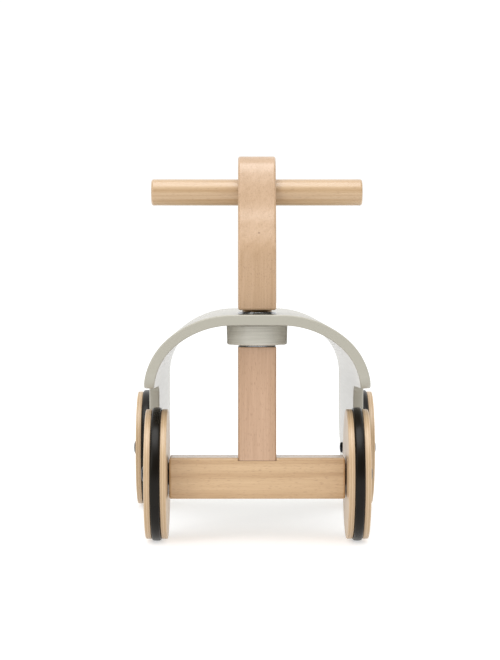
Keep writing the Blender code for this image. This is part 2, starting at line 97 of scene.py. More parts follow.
def feed(tree: Tree, target: bpy.types.Node, inputs: dict[Any, Any]) -> None:
    """Link the inputs of a node that are given a socket, and set the others to their value."""
    for key, value in inputs.items():
        if isinstance(value, Socket):
            tree.links.new(value, target.inputs[key])
        else:
            target.inputs[key].default_value = value


def node(tree: Tree, kind: str, inputs: dict[Any, Any] | None = None,
         ramp: Sequence[tuple[float, Any]] = (), **settings: Any) -> bpy.types.Node:
    """Add one node with its settings, values and links.

    Args:
        tree: The node tree to add to.
        kind: The node's type name after ShaderNode.
        inputs: Values, or sockets to link from, by input name or number.
        ramp: Stops of a colour ramp as (position, linear colour).
        **settings: Attributes of the node.

    Returns:
        The new node.
    """
    made = tree.nodes.new("ShaderNode" + kind)
    for name, value in settings.items():
        setattr(made, name, value)
    feed(tree, made, inputs or {})
    for index, (position, colour) in enumerate(ramp):
        stops = made.color_ramp.elements
        stop = stops[index] if index < len(stops) else stops.new(position)
        stop.position = position
        stop.color = colour
    return made


# --- Finishes ------------------------------------------------------------------------------------

class Grain(Enum):
    """Which way the fibres of a wooden piece run, as the turn that carries that axis to +Z."""

    UP = (0.0, 0.0, 0.0)
    ACROSS = (0.0, -math.pi / 2, 0.0)


@dataclass(frozen=True)
class Finish:
    """A finish, drawn by nodes in the piece's own coordinates."""

    name: str

    def lay(self, tree: Tree, place: Socket) -> dict[str, Any]:
        """Lay out the nodes.

        Args:
            tree: The material's node tree.
            place: Object coordinates.

        Returns:
            What each input of the shader gets: a socket or a value.
        """
        raise NotImplementedError

    def build(self) -> bpy.types.Material:
        """Make the material."""
        material = bpy.data.materials.new(self.name)
        material.use_nodes = True
        tree = material.node_tree
        place = node(tree, "TexCoord").outputs["Object"]
        feed(tree, tree.nodes["Principled BSDF"], self.lay(tree, place))
        return material


@dataclass(frozen=True)
class OiledWood(Finish):
    """Planed and sanded hardwood under a thin clear oil.

    The eye sees faint growth rings cut along the board, fine streaks along the fibres, a dusting of short
    darker ray flecks, and a low satin sheen that breaks up along the grain.
    """

    pale: str
    deep: str
    fleck: str
    grain: Grain = Grain.UP
    pith: tuple[float, float, float] = (0.06, 0.035, 0.0)   # where the tree's middle lies, in grain space
    ring_mm: float = 4.5
    ring_share: float = 0.18
    fleck_stretch: float = 0.22
    fleck_amount: float = 0.4
    roughness: float = 0.40
    knot: tuple[float, float] | None = None                 # x and z of a pin knot running front to back
    knot_colour: str = "6B4A31"

    def figure(self, tree: Tree, place: Socket) -> tuple[Socket, Socket]:
        """Draw the wood's figure.

        Args:
            tree: The material's node tree.
            place: Object coordinates.

        Returns:
            The colour socket, and a grey socket of fibre height for bump and roughness.
        """
        grain_space = node(tree, "Mapping", {
            "Vector": place, "Location": self.pith, "Rotation": self.grain.value}).outputs[0]
        # Rings, clouds, fibres and flecks are each drawn out along the grain by their own share
        board, cloudy, fibrous, flecked = (
            node(tree, "VectorMath", {0: grain_space, 1: (1.0, 1.0, share)}, operation="MULTIPLY").outputs[0]
            for share in (0.07, 0.028, 0.03, self.fleck_stretch))
        # A ring of the Wave texture repeats every 0.314 / scale metres
        rings = node(tree, "TexWave", {
            "Vector": board, "Scale": 0.314 / (self.ring_mm * MM), "Distortion": 4.0, "Detail": 3.0,
            "Detail Scale": 0.35, "Detail Roughness": 0.55},
            wave_type="RINGS", rings_direction="Z", wave_profile="SIN")
        late_wood = node(tree, "ValToRGB", {"Fac": rings.outputs["Fac"]}, ramp=[
            (0.0, grey(0.0)), (0.70, grey(0.30)), (0.93, grey(1.0)), (1.0, grey(0.85))])
        fibres = node(tree, "TexNoise", {"Vector": fibrous, "Scale": 700.0, "Detail": 4.0, "Roughness": 0.65})
        clouds = node(tree, "TexNoise", {"Vector": cloudy, "Scale": 90.0, "Detail": 3.0, "Roughness": 0.5})
        # Real ray flecks are 0.3 mm wide; they are drawn 0.5 mm wide so that they show
        flecks = node(tree, "TexNoise", {"Vector": flecked, "Scale": 1250.0, "Detail": 1.0, "Roughness": 0.4})
        fleck_mask = node(tree, "ValToRGB", {"Fac": flecks.outputs["Fac"]},
                          ramp=[(0.60, grey(0.0)), (0.72, grey(self.fleck_amount))])
        share = self.ring_share
        rings_part = node(tree, "Math", {0: late_wood.outputs["Color"], 1: share}, operation="MULTIPLY")
        fibre_part = node(tree, "Math", {
            0: fibres.outputs["Fac"], 1: 0.62 - share / 2, 2: rings_part.outputs[0]},
            operation="MULTIPLY_ADD")
        blend = node(tree, "Math", {
            0: clouds.outputs["Fac"], 1: 0.38 - share / 2, 2: fibre_part.outputs[0]},
            operation="MULTIPLY_ADD")
        body = node(tree, "ValToRGB", {"Fac": blend.outputs[0]},
                    ramp=[(0.32, linear(self.pale)), (0.68, linear(self.deep))])
        colour = node(tree, "Mix", {0: fleck_mask.outputs["Color"], 6: body.outputs["Color"],
                                    7: linear(self.fleck)}, data_type="RGBA").outputs[2]
        if self.knot is not None:
            colour = self.knotted(tree, place, colour)
        return colour, fibres.outputs["Fac"]

    def knotted(self, tree: Tree, place: Socket, colour: Socket) -> Socket:
        """Darken a colour within a millimetre of the pin knot's line."""
        across = node(tree, "VectorMath", {0: place, 1: (1.0, 0.0, 1.0)}, operation="MULTIPLY")
        away = node(tree, "VectorMath", {0: across.outputs[0], 1: (self.knot[0], 0.0, self.knot[1])},
                    operation="DISTANCE")
        pin = node(tree, "MapRange", {"Value": away.outputs["Value"], "From Min": 0.5 * MM,
                                      "From Max": 1.3 * MM, "To Min": 0.75, "To Max": 0.0})
        return node(tree, "Mix", {0: pin.outputs[0], 6: colour, 7: linear(self.knot_colour)},
                    data_type="RGBA").outputs[2]

    def lay(self, tree: Tree, place: Socket) -> dict[str, Any]:
        """Lay out the figure, with a sheen and a bump that follow the fibres."""
        colour, height = self.figure(tree, place)
        sheen = node(tree, "MapRange", {
            "Value": height, "To Min": self.roughness - 0.07, "To Max": self.roughness + 0.09})
        bump = node(tree, "Bump", {"Height": height, "Strength": 0.08, "Distance": 0.3 * MM})
        return {"Base Color": colour, "Roughness": sheen.outputs[0], "Normal": bump.outputs[0], "IOR": 1.5,
                "Coat Weight": 0.80, "Coat Roughness": 0.22}


@dataclass(frozen=True)
class BirchPlywood(Finish):
    """Clear-lacquered birch plywood, turned into a disc.

    The flat faces show one pale veneer; the turned rim shows the plies in turn, pale where the fibres run
    along the rim and browner where they are cut across, with a hair-thin glue line between them.
    """

    middle: tuple[float, float, float]      # centre of the disc
    thickness: float
    plies: int = 5

    def lay(self, tree: Tree, place: Socket) -> dict[str, Any]:
        """Lay out the veneer of the faces and the plies of the rim, chosen by the depth in the disc."""
        veneer = OiledWood(self.name, "CDB697", "BCA079", "A4855E", ring_mm=7.0, fleck_amount=0.35,
                           pith=(self.middle[0] * 3.0, 0.05, self.middle[1]))
        face_colour, height = veneer.figure(tree, place)
        centred = node(tree, "Mapping", {"Vector": place, "Location": tuple(-value for value in self.middle)})
        depth = node(tree, "SeparateXYZ", {0: centred.outputs[0]}).outputs[0]
        # Ply number, counted from one face: 0 to plies
        count = node(tree, "Math", {0: depth, 1: self.plies / self.thickness, 2: self.plies / 2},
                     operation="MULTIPLY_ADD")
        inside = node(tree, "Math", {0: count.outputs[0]}, operation="FRACT")
        glue = node(tree, "ValToRGB", {"Fac": inside.outputs[0]}, ramp=[
            (0.0, grey(0.55)), (0.08, grey(0.0)), (0.92, grey(0.0)), (1.0, grey(0.55))])
        pair = node(tree, "Math", {0: count.outputs[0], 1: 0.5}, operation="MULTIPLY")
        half = node(tree, "Math", {0: pair.outputs[0]}, operation="FRACT")
        crossed = node(tree, "Math", {0: half.outputs[0], 1: 0.5}, operation="GREATER_THAN")
        streak_space = node(tree, "VectorMath", {0: centred.outputs[0], 1: (6.0, 1.0, 1.0)},
                            operation="MULTIPLY")
        streaks = node(tree, "TexNoise", {
            "Vector": streak_space.outputs[0], "Scale": 260.0, "Detail": 2.0, "Roughness": 0.6})
        long_ply, end_ply = (
            node(tree, "Mix", {0: streaks.outputs["Fac"], 6: linear(pale), 7: linear(deep)},
                 data_type="RGBA").outputs[2] for pale, deep in (("CAB091", "B69A77"), ("BDA27F", "A78B66")))
        rim = node(tree, "Mix", {0: crossed.outputs[0], 6: long_ply, 7: end_ply}, data_type="RGBA")
        glued = node(tree, "Mix", {0: glue.outputs["Color"], 6: rim.outputs[2], 7: linear("8A6C4B")},
                     data_type="RGBA")
        # Within a hair of either flat face only the outer veneer shows
        off_middle = node(tree, "Math", {0: depth}, operation="ABSOLUTE")
        on_face = node(tree, "Math", {0: off_middle.outputs[0], 1: self.thickness / 2 - 0.3 * MM},
                       operation="GREATER_THAN")
        colour = node(tree, "Mix", {0: on_face.outputs[0], 6: glued.outputs[2], 7: face_colour},
                      data_type="RGBA")
        bump = node(tree, "Bump", {"Height": height, "Strength": 0.1, "Distance": 0.3 * MM})
        return {"Base Color": colour.outputs[2], "Normal": bump.outputs[0], "Roughness": 0.40, "IOR": 1.5,
                "Coat Weight": 0.2, "Coat Roughness": 0.25}


@dataclass(frozen=True)
class GreyLacquer(Finish):
    """Warm grey pigmented lacquer on wood, sprayed and rubbed down.

    It looks even and satin, with the faint long grain of the veneer telegraphing through, a trace of
    orange peel, and on turned work the fine rings left by the tool.
    """

    base: str = "A8A599"
    worn: str = "9E9A8D"
    turned: bool = False
    varnish: float = 0.3

    def lay(self, tree: Tree, place: Socket) -> dict[str, Any]:
        """Lay out long grain or tool rings over a slow drift of the colour."""
        turned_work = self.turned
        space = node(tree, "VectorMath", {
            0: place, 1: (1.0, 1.0, 60.0) if turned_work else (1.0, 0.03, 1.0)}, operation="MULTIPLY")
        marks = node(tree, "TexNoise", {
            "Vector": space.outputs[0], "Scale": 20.0 if turned_work else 420.0, "Detail": 3.0,
            "Roughness": 0.6})
        drift = node(tree, "TexNoise", {"Vector": place, "Scale": 14.0, "Detail": 2.0, "Roughness": 0.5})
        peel = node(tree, "TexNoise", {"Vector": place, "Scale": 900.0, "Detail": 1.0, "Roughness": 0.4})
        tone = node(tree, "MapRange", {
            "Value": marks.outputs["Fac"], "From Min": 0.4 if turned_work else 0.0,
            "From Max": 0.6 if turned_work else 1.0, "To Max": 0.55 if turned_work else 0.3})
        mixed = node(tree, "Math", {0: drift.outputs["Fac"], 1: 0.45, 2: tone.outputs[0]},
                     operation="MULTIPLY_ADD")
        colour = node(tree, "Mix", {0: mixed.outputs[0], 6: linear(self.base), 7: linear(self.worn)},
                      data_type="RGBA")
        height = node(tree, "Math", {0: marks.outputs["Fac"], 1: 1.5 if turned_work else 0.5,
                                     2: peel.outputs["Fac"]}, operation="MULTIPLY_ADD")
        bump = node(tree, "Bump", {"Height": height.outputs[0], "Strength": 0.35 if turned_work else 0.06,
                                   "Distance": 0.4 * MM})
        sheen = node(tree, "MapRange", {"Value": marks.outputs["Fac"], "To Min": 0.28, "To Max": 0.40})
        return {"Base Color": colour.outputs[2], "Normal": bump.outputs[0], "Roughness": sheen.outputs[0],
                "IOR": 1.45, "Coat Weight": self.varnish, "Coat Roughness": 0.10, "Coat IOR": 1.45}


@dataclass(frozen=True)
class TyreRubber(Finish):
    """Moulded black rubber with a low gloss, a faint dusty bloom and a fine orange-peel skin."""

    name: str = "moulded_black_rubber"

    def lay(self, tree: Tree, place: Socket) -> dict[str, Any]:
        """Lay out the bloom, which also dulls the gloss, and the skin."""
        bloom = node(tree, "TexNoise", {"Vector": place, "Scale": 45.0, "Detail": 4.0, "Roughness": 0.6})
        skin = node(tree, "TexNoise", {"Vector": place, "Scale": 1100.0, "Detail": 2.0, "Roughness": 0.5})
        colour = node(tree, "Mix", {0: bloom.outputs["Fac"], 6: linear("0F0C08"), 7: linear("19150F")},
                      data_type="RGBA")
        gloss = node(tree, "MapRange", {"Value": bloom.outputs["Fac"], "To Min": 0.22, "To Max": 0.36})
        bump = node(tree, "Bump", {"Height": skin.outputs["Fac"], "Strength": 0.1, "Distance": 0.3 * MM})
        return {"Base Color": colour.outputs[2], "Roughness": gloss.outputs[0], "Normal": bump.outputs[0],
                "IOR": 1.5, "Specular IOR Level": 0.17}


@dataclass(frozen=True)
class TurnedMetal(Finish):
    """Machined metal: fine tool scratches in the reflections and slight staining in the colour."""

    bright: str
    dull: str
    metallic: float = 1.0
    roughness: float = 0.22

    def lay(self, tree: Tree, place: Socket) -> dict[str, Any]:
        """Lay out stains over the colour and scratches over the gloss."""
        stains = node(tree, "TexNoise", {"Vector": place, "Scale": 240.0, "Detail": 3.0, "Roughness": 0.6})
        scratches = node(tree, "TexNoise", {
            "Vector": place, "Scale": 1800.0, "Detail": 2.0, "Roughness": 0.7})
        colour = node(tree, "Mix", {0: stains.outputs["Fac"], 6: linear(self.bright), 7: linear(self.dull)},
                      data_type="RGBA")
        gloss = node(tree, "MapRange", {"Value": scratches.outputs["Fac"], "To Min": self.roughness * 0.7,
                                        "To Max": self.roughness * 1.4})
        bump = node(tree, "Bump", {
            "Height": scratches.outputs["Fac"], "Strength": 0.05, "Distance": 0.2 * MM})
        return {"Base Color": colour.outputs[2], "Roughness": gloss.outputs[0], "Normal": bump.outputs[0],
                "Metallic": self.metallic}


@dataclass(frozen=True)
class NaturalNylon(Finish):
    """Turned nylon: milky off-white, slightly waxy, with faint tool marks."""

    name: str = "turned_natural_nylon"

    def lay(self, tree: Tree, place: Socket) -> dict[str, Any]:
        """Lay out the tool marks."""
        marks = node(tree, "TexNoise", {"Vector": place, "Scale": 500.0, "Detail": 2.0, "Roughness": 0.5})
        colour = node(tree, "Mix", {0: marks.outputs["Fac"], 6: linear("E4E2DA"), 7: linear("D2CFC4")},
                      data_type="RGBA")
        return {"Base Color": colour.outputs[2], "Roughness": 0.45, "IOR": 1.53}


@dataclass(frozen=True)
class StudioSheet(Finish):
    """Matt paper or card for the studio: no gloss, a fine tooth, and a faint glow if lit from behind."""

    pale: str
    deep: str
    tooth_scale: float
    roughness: float = 0.5
    glow: float = 0.0

    def lay(self, tree: Tree, place: Socket) -> dict[str, Any]:
        """Lay out the tooth."""
        tooth = node(tree, "TexNoise", {"Vector": place, "Scale": self.tooth_scale})
        colour = node(tree, "Mix", {0: tooth.outputs["Fac"], 6: linear(self.pale), 7: linear(self.deep)},
                      data_type="RGBA")
        return {"Base Color": colour.outputs[2], "Roughness": self.roughness, "Specular IOR Level": 0.0,
                "Emission Color": WHITE, "Emission Strength": self.glow}


# --- Shapes --------------------------------------------------------------------------------------

class Axis(Enum):
    """The axis a shape is turned about or thickened along: two directions of its plane, then its own."""

    PLUS_X = ((0, 1, 0), (0, 0, 1), (1, 0, 0))
    MINUS_X = ((0, 0, 1), (0, 1, 0), (-1, 0, 0))
    PLUS_Y = ((0, 0, 1), (1, 0, 0), (0, 1, 0))
    PLUS_Z = ((1, 0, 0), (0, 1, 0), (0, 0, 1))
    MINUS_Z = ((0, 1, 0), (1, 0, 0), (0, 0, -1))

    def place(self, local: Array, centre: Sequence[float]) -> Array:
        """Carry points from the shape's own axes to the bike's.

        Args:
            local: Points as (..., 3) in the shape's axes.
            centre: Where the shape's origin goes.

        Returns:
            The points in the bike's axes.
        """
        return local @ np.array(self.value, float) + np.array(centre, float)


@dataclass
class Shape:
    """A closed surface: its points and its faces as lists of point numbers."""

    points: Array
    faces: list[list[int]] = field(default_factory=list)


def grid_quads(rows: int, columns: int, wrap_rows: bool = False, wrap_columns: bool = False) -> Array:
    """Quads of a grid whose points are numbered row by row.

    Args:
        rows: Rows of points.
        columns: Points in each row.
        wrap_rows: Join the last row to the first.
        wrap_columns: Join the last column to the first.

    Returns:
        Point numbers as (n, 4); a face points outwards where rows run down and columns counter-clockwise.
    """
    row, column = np.meshgrid(np.arange(rows if wrap_rows else rows - 1),
                              np.arange(columns if wrap_columns else columns - 1), indexing="ij")
    below, beside = (row + 1) % rows, (column + 1) % columns
    corners = (row * columns + column, below * columns + column, below * columns + beside,
               row * columns + beside)
    return np.stack(corners, -1).reshape(-1, 4)


def turned(profile: Sequence[tuple[float, float]], axis: Axis, centre: Sequence[float], steps: int = 96,
           hexed: Iterable[int] = ()) -> Shape:
    """Turn a profile about an axis.

    A point is (radius cos a, radius sin a, height). On rows named in hexed the radius follows a hexagon:
    it is divided by the cosine of the angle from the middle of the nearest flat. A profile that starts
    and ends off the axis closes on itself as a ring; one that starts and ends on it gets a pole at each end.

    Args:
        profile: (radius, height) pairs that run down the outer side.
        axis: The axis turned about.
        centre: Where the profile's origin goes.
        steps: Points round the axis.
        hexed: Profile rows that are hexagonal.

    Returns:
        The closed shape.
    """
    rows = np.array(profile, float)
    poles = rows[0, 0] == 0.0
    ring = rows[1:-1] if poles else rows
    angle = np.arange(steps) * 2 * math.pi / steps
    radius = np.repeat(ring[:, :1], steps, axis=1)
    from_flat = (angle + math.pi / 6) % (math.pi / 3) - math.pi / 6
    for row in hexed:
        radius[row - 1 if poles else row] /= np.cos(from_flat)
    height = np.repeat(ring[:, 1:], steps, axis=1)
    local = np.stack((radius * np.cos(angle), radius * np.sin(angle), height), -1).reshape(-1, 3)
    faces = grid_quads(len(ring), steps, wrap_rows=not poles, wrap_columns=True).tolist()
    if poles:
        local = np.vstack((local, (0.0, 0.0, rows[0, 1]), (0.0, 0.0, rows[-1, 1])))
        top, bottom = len(local) - 2, len(local) - 1
        here = np.arange(steps)
        beside = (here + 1) % steps
        last = (len(ring) - 1) * steps
        faces += np.stack((np.full(steps, top), here, beside), -1).tolist()
        faces += np.stack((np.full(steps, bottom), last + beside, last + here), -1).tolist()
    return Shape(axis.place(local, centre), faces)


def edge_rows(thickness: float, rounding: float, segments: int = 6) -> Array:
    """Section of a slab's rounded edge.

    Args:
        thickness: The slab's thickness.
        rounding: Radius of both edges.
        segments: Steps in each quarter round.

    Returns:
        (inset from the outline, height) pairs from the top face down to the bottom face.
    """
    angle = np.linspace(0.0, math.pi / 2, segments + 1)
    inset = rounding * (1 - np.sin(angle))
    drop = rounding * (1 - np.cos(angle))
    top = np.stack((inset, thickness / 2 - drop), -1)
    return np.vstack((top, top[::-1] * (1, -1)))


def outward(outline: Array) -> Array:
    """Outward unit normals of a closed counter-clockwise outline, from each point's two neighbours."""
    along = np.roll(outline, -1, axis=0) - np.roll(outline, 1, axis=0)
    normal = np.stack((along[:, 1], -along[:, 0]), -1)
    return normal / np.linalg.norm(normal, axis=1, keepdims=True)


def slab(outline: Array, thickness: float, rounding: float, axis: Axis, centre: Sequence[float]) -> Shape:
    """Thicken a flat outline into a slab with rounded edges.

    Each point of the outline is drawn in along its normal by the inset of every row of the edge section.

    Args:
        outline: Counter-clockwise (across, up) points without sharp corners.
        thickness: The slab's thickness, half to each side of centre.
        rounding: Radius of its edges.
        axis: The axis it is thickened along.
        centre: Where the outline's origin goes.

    Returns:
        The closed shape.
    """
    rows = edge_rows(thickness, rounding)
    flat = outline[None] - rows[:, :1, None] * outward(outline)[None]
    height = np.broadcast_to(rows[:, 1][:, None, None], (*flat.shape[:2], 1))
    local = np.concatenate((flat, height), -1).reshape(-1, 3)
    count = len(outline)
    faces = grid_quads(len(rows), count, wrap_columns=True).tolist()
    faces.append(list(range(count)))
    faces.append(list(range(len(local) - 1, len(local) - 1 - count, -1)))
    return Shape(axis.place(local, centre), faces)


def arc(centre: Sequence[float], radius: float, start: float, end: float, steps: int) -> Array:
    """Points of an arc between two angles in degrees, both ends included."""
    angle = np.radians(np.linspace(start, end, steps + 1))
    return np.array(centre) + radius * np.stack((np.cos(angle), np.sin(angle)), -1)


def rounded_rectangle(width: float, height: float, radius: float, steps: int = 6) -> Array:
    """Counter-clockwise outline of a rectangle with round corners, centred on its origin."""
    across, up = width / 2 - radius, height / 2 - radius
    corners = ((across, up, 0), (-across, up, 90), (-across, -up, 180), (across, -up, 270))
    return np.vstack([arc((x, y), radius, start, start + 90, steps) for x, y, start in corners])


def rounded_polygon(corners: Sequence[tuple[float, float, float]], spacing: float = 0.003) -> Array:
    """Outline of a polygon whose corners are arcs.

    An arc's centre lies on the corner's bisector at radius / sin(half angle), and it touches both sides.

    Args:
        corners: (across, up, radius) of each corner in order; radius 0 keeps the corner.
        spacing: Longest step between points, along arcs and sides alike.

    Returns:
        The outline's points.
    """
    pieces: list[Array] = []
    for index, (across, up, radius) in enumerate(corners):
        corner = np.array((across, up))
        before = np.array(corners[index - 1][:2]) - corner
        after = np.array(corners[(index + 1) % len(corners)][:2]) - corner
        before, after = before / np.linalg.norm(before), after / np.linalg.norm(after)
        if radius == 0.0:
            pieces.append(corner[None])
            continue
        half = math.acos(float(before @ after)) / 2
        bisector = (before + after) / np.linalg.norm(before + after)
        middle = corner + bisector * radius / math.sin(half)
        first = corner + before * radius / math.tan(half) - middle
        side = 1.0 if before[0] * after[1] - before[1] * after[0] < 0 else -1.0
        sweep = math.pi - 2 * half
        turn = side * np.linspace(0.0, sweep, max(6, int(sweep * radius / spacing) + 1))
        spokes = np.stack((first[0] * np.cos(turn) - first[1] * np.sin(turn),
                           first[0] * np.sin(turn) + first[1] * np.cos(turn)), -1)
        pieces.append(middle + spokes)
    return spaced(np.vstack(pieces), spacing)


def spaced(path: Array, spacing: float) -> Array:
    """Add points along the long sides of a closed path so that no step is longer than the spacing."""
    stretches = []
    for start, end in zip(path, np.roll(path, -1, axis=0)):
        count = max(1, math.ceil(np.linalg.norm(end - start) / spacing))
        stretches.append(start + (end - start) * (np.arange(count) / count)[:, None])
    return np.vstack(stretches)


def smooth_path(points: Sequence[tuple[float, float]], steps: int = 12) -> Array:
    """Smooth curve through points, a cubic Hermite between each pair.

    The slope at a point is half the chord of its two neighbours.

    Args:
        points: The points it passes through.
        steps: Points between each pair.

    Returns:
        The curve's points, both ends included.
    """
    path = np.array(points, float)
    slope = np.gradient(path, axis=0)
    t = (np.arange(steps) / steps)[None, :, None]
    start, end = path[:-1, None], path[1:, None]
    leave, arrive = slope[:-1, None], slope[1:, None]
    curve = ((2 * t**3 - 3 * t**2 + 1) * start + (t**3 - 2 * t**2 + t) * leave
             + (3 * t**2 - 2 * t**3) * end + (t**3 - t**2) * arrive)
    return np.vstack((curve.reshape(-1, 2), path[-1]))


# --- Making pieces -------------------------------------------------------------------------------

def scene_object(name: str, data: bpy.types.ID) -> bpy.types.Object:
    """Put a mesh, light or camera in the scene as an object at the origin."""
    made = bpy.data.objects.new(name, data)
    bpy.context.scene.collection.objects.link(made)
    return made


def mesh_object(name: str, shape: Shape) -> bpy.types.Object:
    """Put a shape in the scene as a mesh object at the origin.

    Args:
        name: The object's name.
        shape: Its surface.

    Returns:
        The object.
    """
    mesh = bpy.data.meshes.new(name)
    mesh.from_pydata(shape.points.tolist(), [], shape.faces)
    mesh.validate()
    return scene_object(name, mesh)


def cut(piece: bpy.types.Object, tool: Shape) -> None:
    """Take a tool's shape out of a piece, and keep the result in the piece's own mesh."""
    cutter = mesh_object("cutter", tool)
    boolean = piece.modifiers.new("cut", "BOOLEAN")
    boolean.object = cutter
    boolean.solver = "EXACT"
    graph = bpy.context.evaluated_depsgraph_get()
    old, spare = piece.data, cutter.data
    piece.data = bpy.data.meshes.new_from_object(piece.evaluated_get(graph))
    piece.modifiers.clear()
    bpy.data.objects.remove(cutter)
    bpy.data.meshes.remove(spare)
    bpy.data.meshes.remove(old)


def drill(piece: bpy.types.Object, radius: float, low: float, high: float, axis: Axis,
          centre: Sequence[float] = (0.0, 0.0, 0.0)) -> None:
    """Bore a round hole in a piece between two heights along an axis."""
    cut(piece, turned([(0.0, high), (radius, high), (radius, low), (0.0, low)], axis, centre, steps=64))


def finish_piece(piece: bpy.types.Object, material: bpy.types.Material, body: str, stands_for: str) -> None:
    """Shade a piece, dress it, hang it on its body and log it.

    Args:
        piece: The mesh object.
        material: Its finish.
        body: The body it moves with.
        stands_for: The frame's node that it replaces.
    """
    piece.data.materials.clear()
    piece.data.materials.append(material)
    piece.data.shade_smooth()
    piece.data.set_sharp_from_angle(angle=SMOOTH_BELOW)
    even = piece.modifiers.new("even_flats", "WEIGHTED_NORMAL")
    even.keep_sharp = True
    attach(piece, body)
    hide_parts(stands_for)
    log.info("%s: %d faces, moves with %s", piece.name, len(piece.data.polygons), body)


def body_of(name: str) -> str:
    """The body that a frame node moves with."""
    return next(body for body, names in frame["record"]["behaviour"]["bodies"].items() if name in names)


def dress(name: str, material: bpy.types.Material) -> None:
    """Give a frame node that stays in the picture its finish."""
    for place in frame["nodes"][name].material_slots:
        place.material = material
    log.info("%s: kept, finished as %s", name, material.name)


def middle_of(name: str) -> Vector:
    """Middle of a frame node's box."""
    low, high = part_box(name)
    return (low + high) / 2


class Stock:
    """The materials that more than one sub-assembly uses, each made once."""

    def __init__(self) -> None:
        """Make the shared materials."""
        self.zinc = TurnedMetal("zinc_plated_steel", "C9CACC", "A3A5A8", roughness=0.24).build()
        self.nylon = NaturalNylon().build()
        self.rubber = TyreRubber().build()
        self.of_slot = {
            "steel": self.zinc,
            "black_steel": TurnedMetal("black_oxide_steel", "33343A", "1E1F23", 0.9, 0.30).build(),
            "bronze": TurnedMetal("sintered_bronze", "8F7350", "6A5338", roughness=0.38).build(),
            "nylon": self.nylon}


@dataclass
class TurnedHardware:
    """Round steel, bronze and nylon pieces, turned to their frame nodes' boxes."""

    stock: Stock
    key_ease: float = 0.15 * MM         # depth of the bevel round a button head's socket

    def extent(self, name: str, axis: Axis) -> tuple[Vector, float, float, float]:
        """Where a round node lies.

        Args:
            name: The frame node.
            axis: The axis it is turned about.

        Returns:
            Its axis point with no height along the axis, its radius, and its lowest and highest height.
        """
        low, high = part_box(name)
        along = Vector(axis.value[2])
        radius = abs((high - low).dot(Vector(axis.value[0]))) / 2
        bottom, top = sorted((low.dot(along), high.dot(along)))
        centre = (low + high) / 2
        return centre - along * centre.dot(along), radius, bottom, top

    def turn(self, name: str, profile: Sequence[tuple[float, float]], axis: Axis, slot: str,
             hexed: Iterable[int] = ()) -> None:
        """Turn a profile about a node's own middle, in the material of its slot.

        Args:
            name: The frame node it replaces.
            profile: (radius, height) pairs from head to tip.
            axis: The axis it is turned about.
            slot: The record's material slot.
            hexed: Profile rows that are hexagonal.
        """
        shape = turned(profile, axis, self.extent(name, axis)[0], hexed=hexed)
        piece = mesh_object(f"{name}_turned", shape)
        finish_piece(piece, self.stock.of_slot[slot], body_of(name), name)

    def ring(self, name: str, bore: float, axis: Axis, slot: str, rounding: float = 0.25 * MM) -> None:
        """Make a washer, bush or spacer with eased edges.

        The section is a rectangle from bore to outer radius with each corner cut by a small quarter round.

        Args:
            name: The frame node it replaces.
            bore: Radius of its hole.
            axis: The axis it is turned about.
            slot: The record's material slot.
            rounding: Radius of its four edges.
        """
        _, radius, low, high = self.extent(name, axis)
        section = rounded_rectangle(radius - bore, high - low, rounding, 3)[::-1]
        self.turn(name, (section + ((radius + bore) / 2, (low + high) / 2)).tolist(), axis, slot)

    def socket_screw(self, name: str, axis: Axis, slot: str, key: float, depth: float,
                     outline: Sequence[tuple[float, float]]) -> None:
        """Make a flat-ended screw with a hexagon socket.

        Args:
            name: The frame node it replaces.
            axis: The axis it points its socket along.
            slot: The record's material slot.
            key: Half the width across the socket's flats.
            depth: Depth of the socket.
            outline: (radius, height) pairs from the edge of the flat end to the tip.
        """
        _, _, low, high = self.extent(name, axis)
        socket = [(0.0, high - depth), (key, high - depth), (key, high)]
        self.turn(name, [*socket, *outline, (0.0, low)], axis, slot, hexed=(1, 2))

    def button_bolt(self, name: str, axis: Axis, shank: Sequence[tuple[float, float]], head: float,
                    head_radius: float, key: float = 2.5 * MM, key_depth: float = 1.7 * MM) -> None:
        """Make a blackened button-head bolt with a hexagon socket.

        The crown is an arc that falls from a small flat round the socket to a short upright rim.

        Args:
            name: The frame node it replaces.
            axis: The axis it points its head along.
            shank: (radius, height) pairs under the head, from the head to the tip.
            head: Height of the head.
            head_radius: Its radius.
            key: Half the width across the socket's flats.
            key_depth: Depth of the socket.
        """
        top = self.extent(name, axis)[3]
        rim = 0.14 * head
        flat = key * 1.3
        fall = np.linspace(0.0, math.pi / 2, 11)
        crown_radius = flat + (head_radius - flat) * np.sin(fall)
        crown_height = top - head + rim + (head - rim) * np.cos(fall)
        profile = [(0.0, top - key_depth), (key, top - key_depth), (key, top - self.key_ease),
                   (key * 1.06, top), *zip(crown_radius.tolist(), crown_height.tolist()),
                   (head_radius, top - head), *shank]
        self.turn(name, profile, axis, "black_steel", hexed=(1, 2, 3))


# --- The bike's parts ----------------------------------------------------------------------------

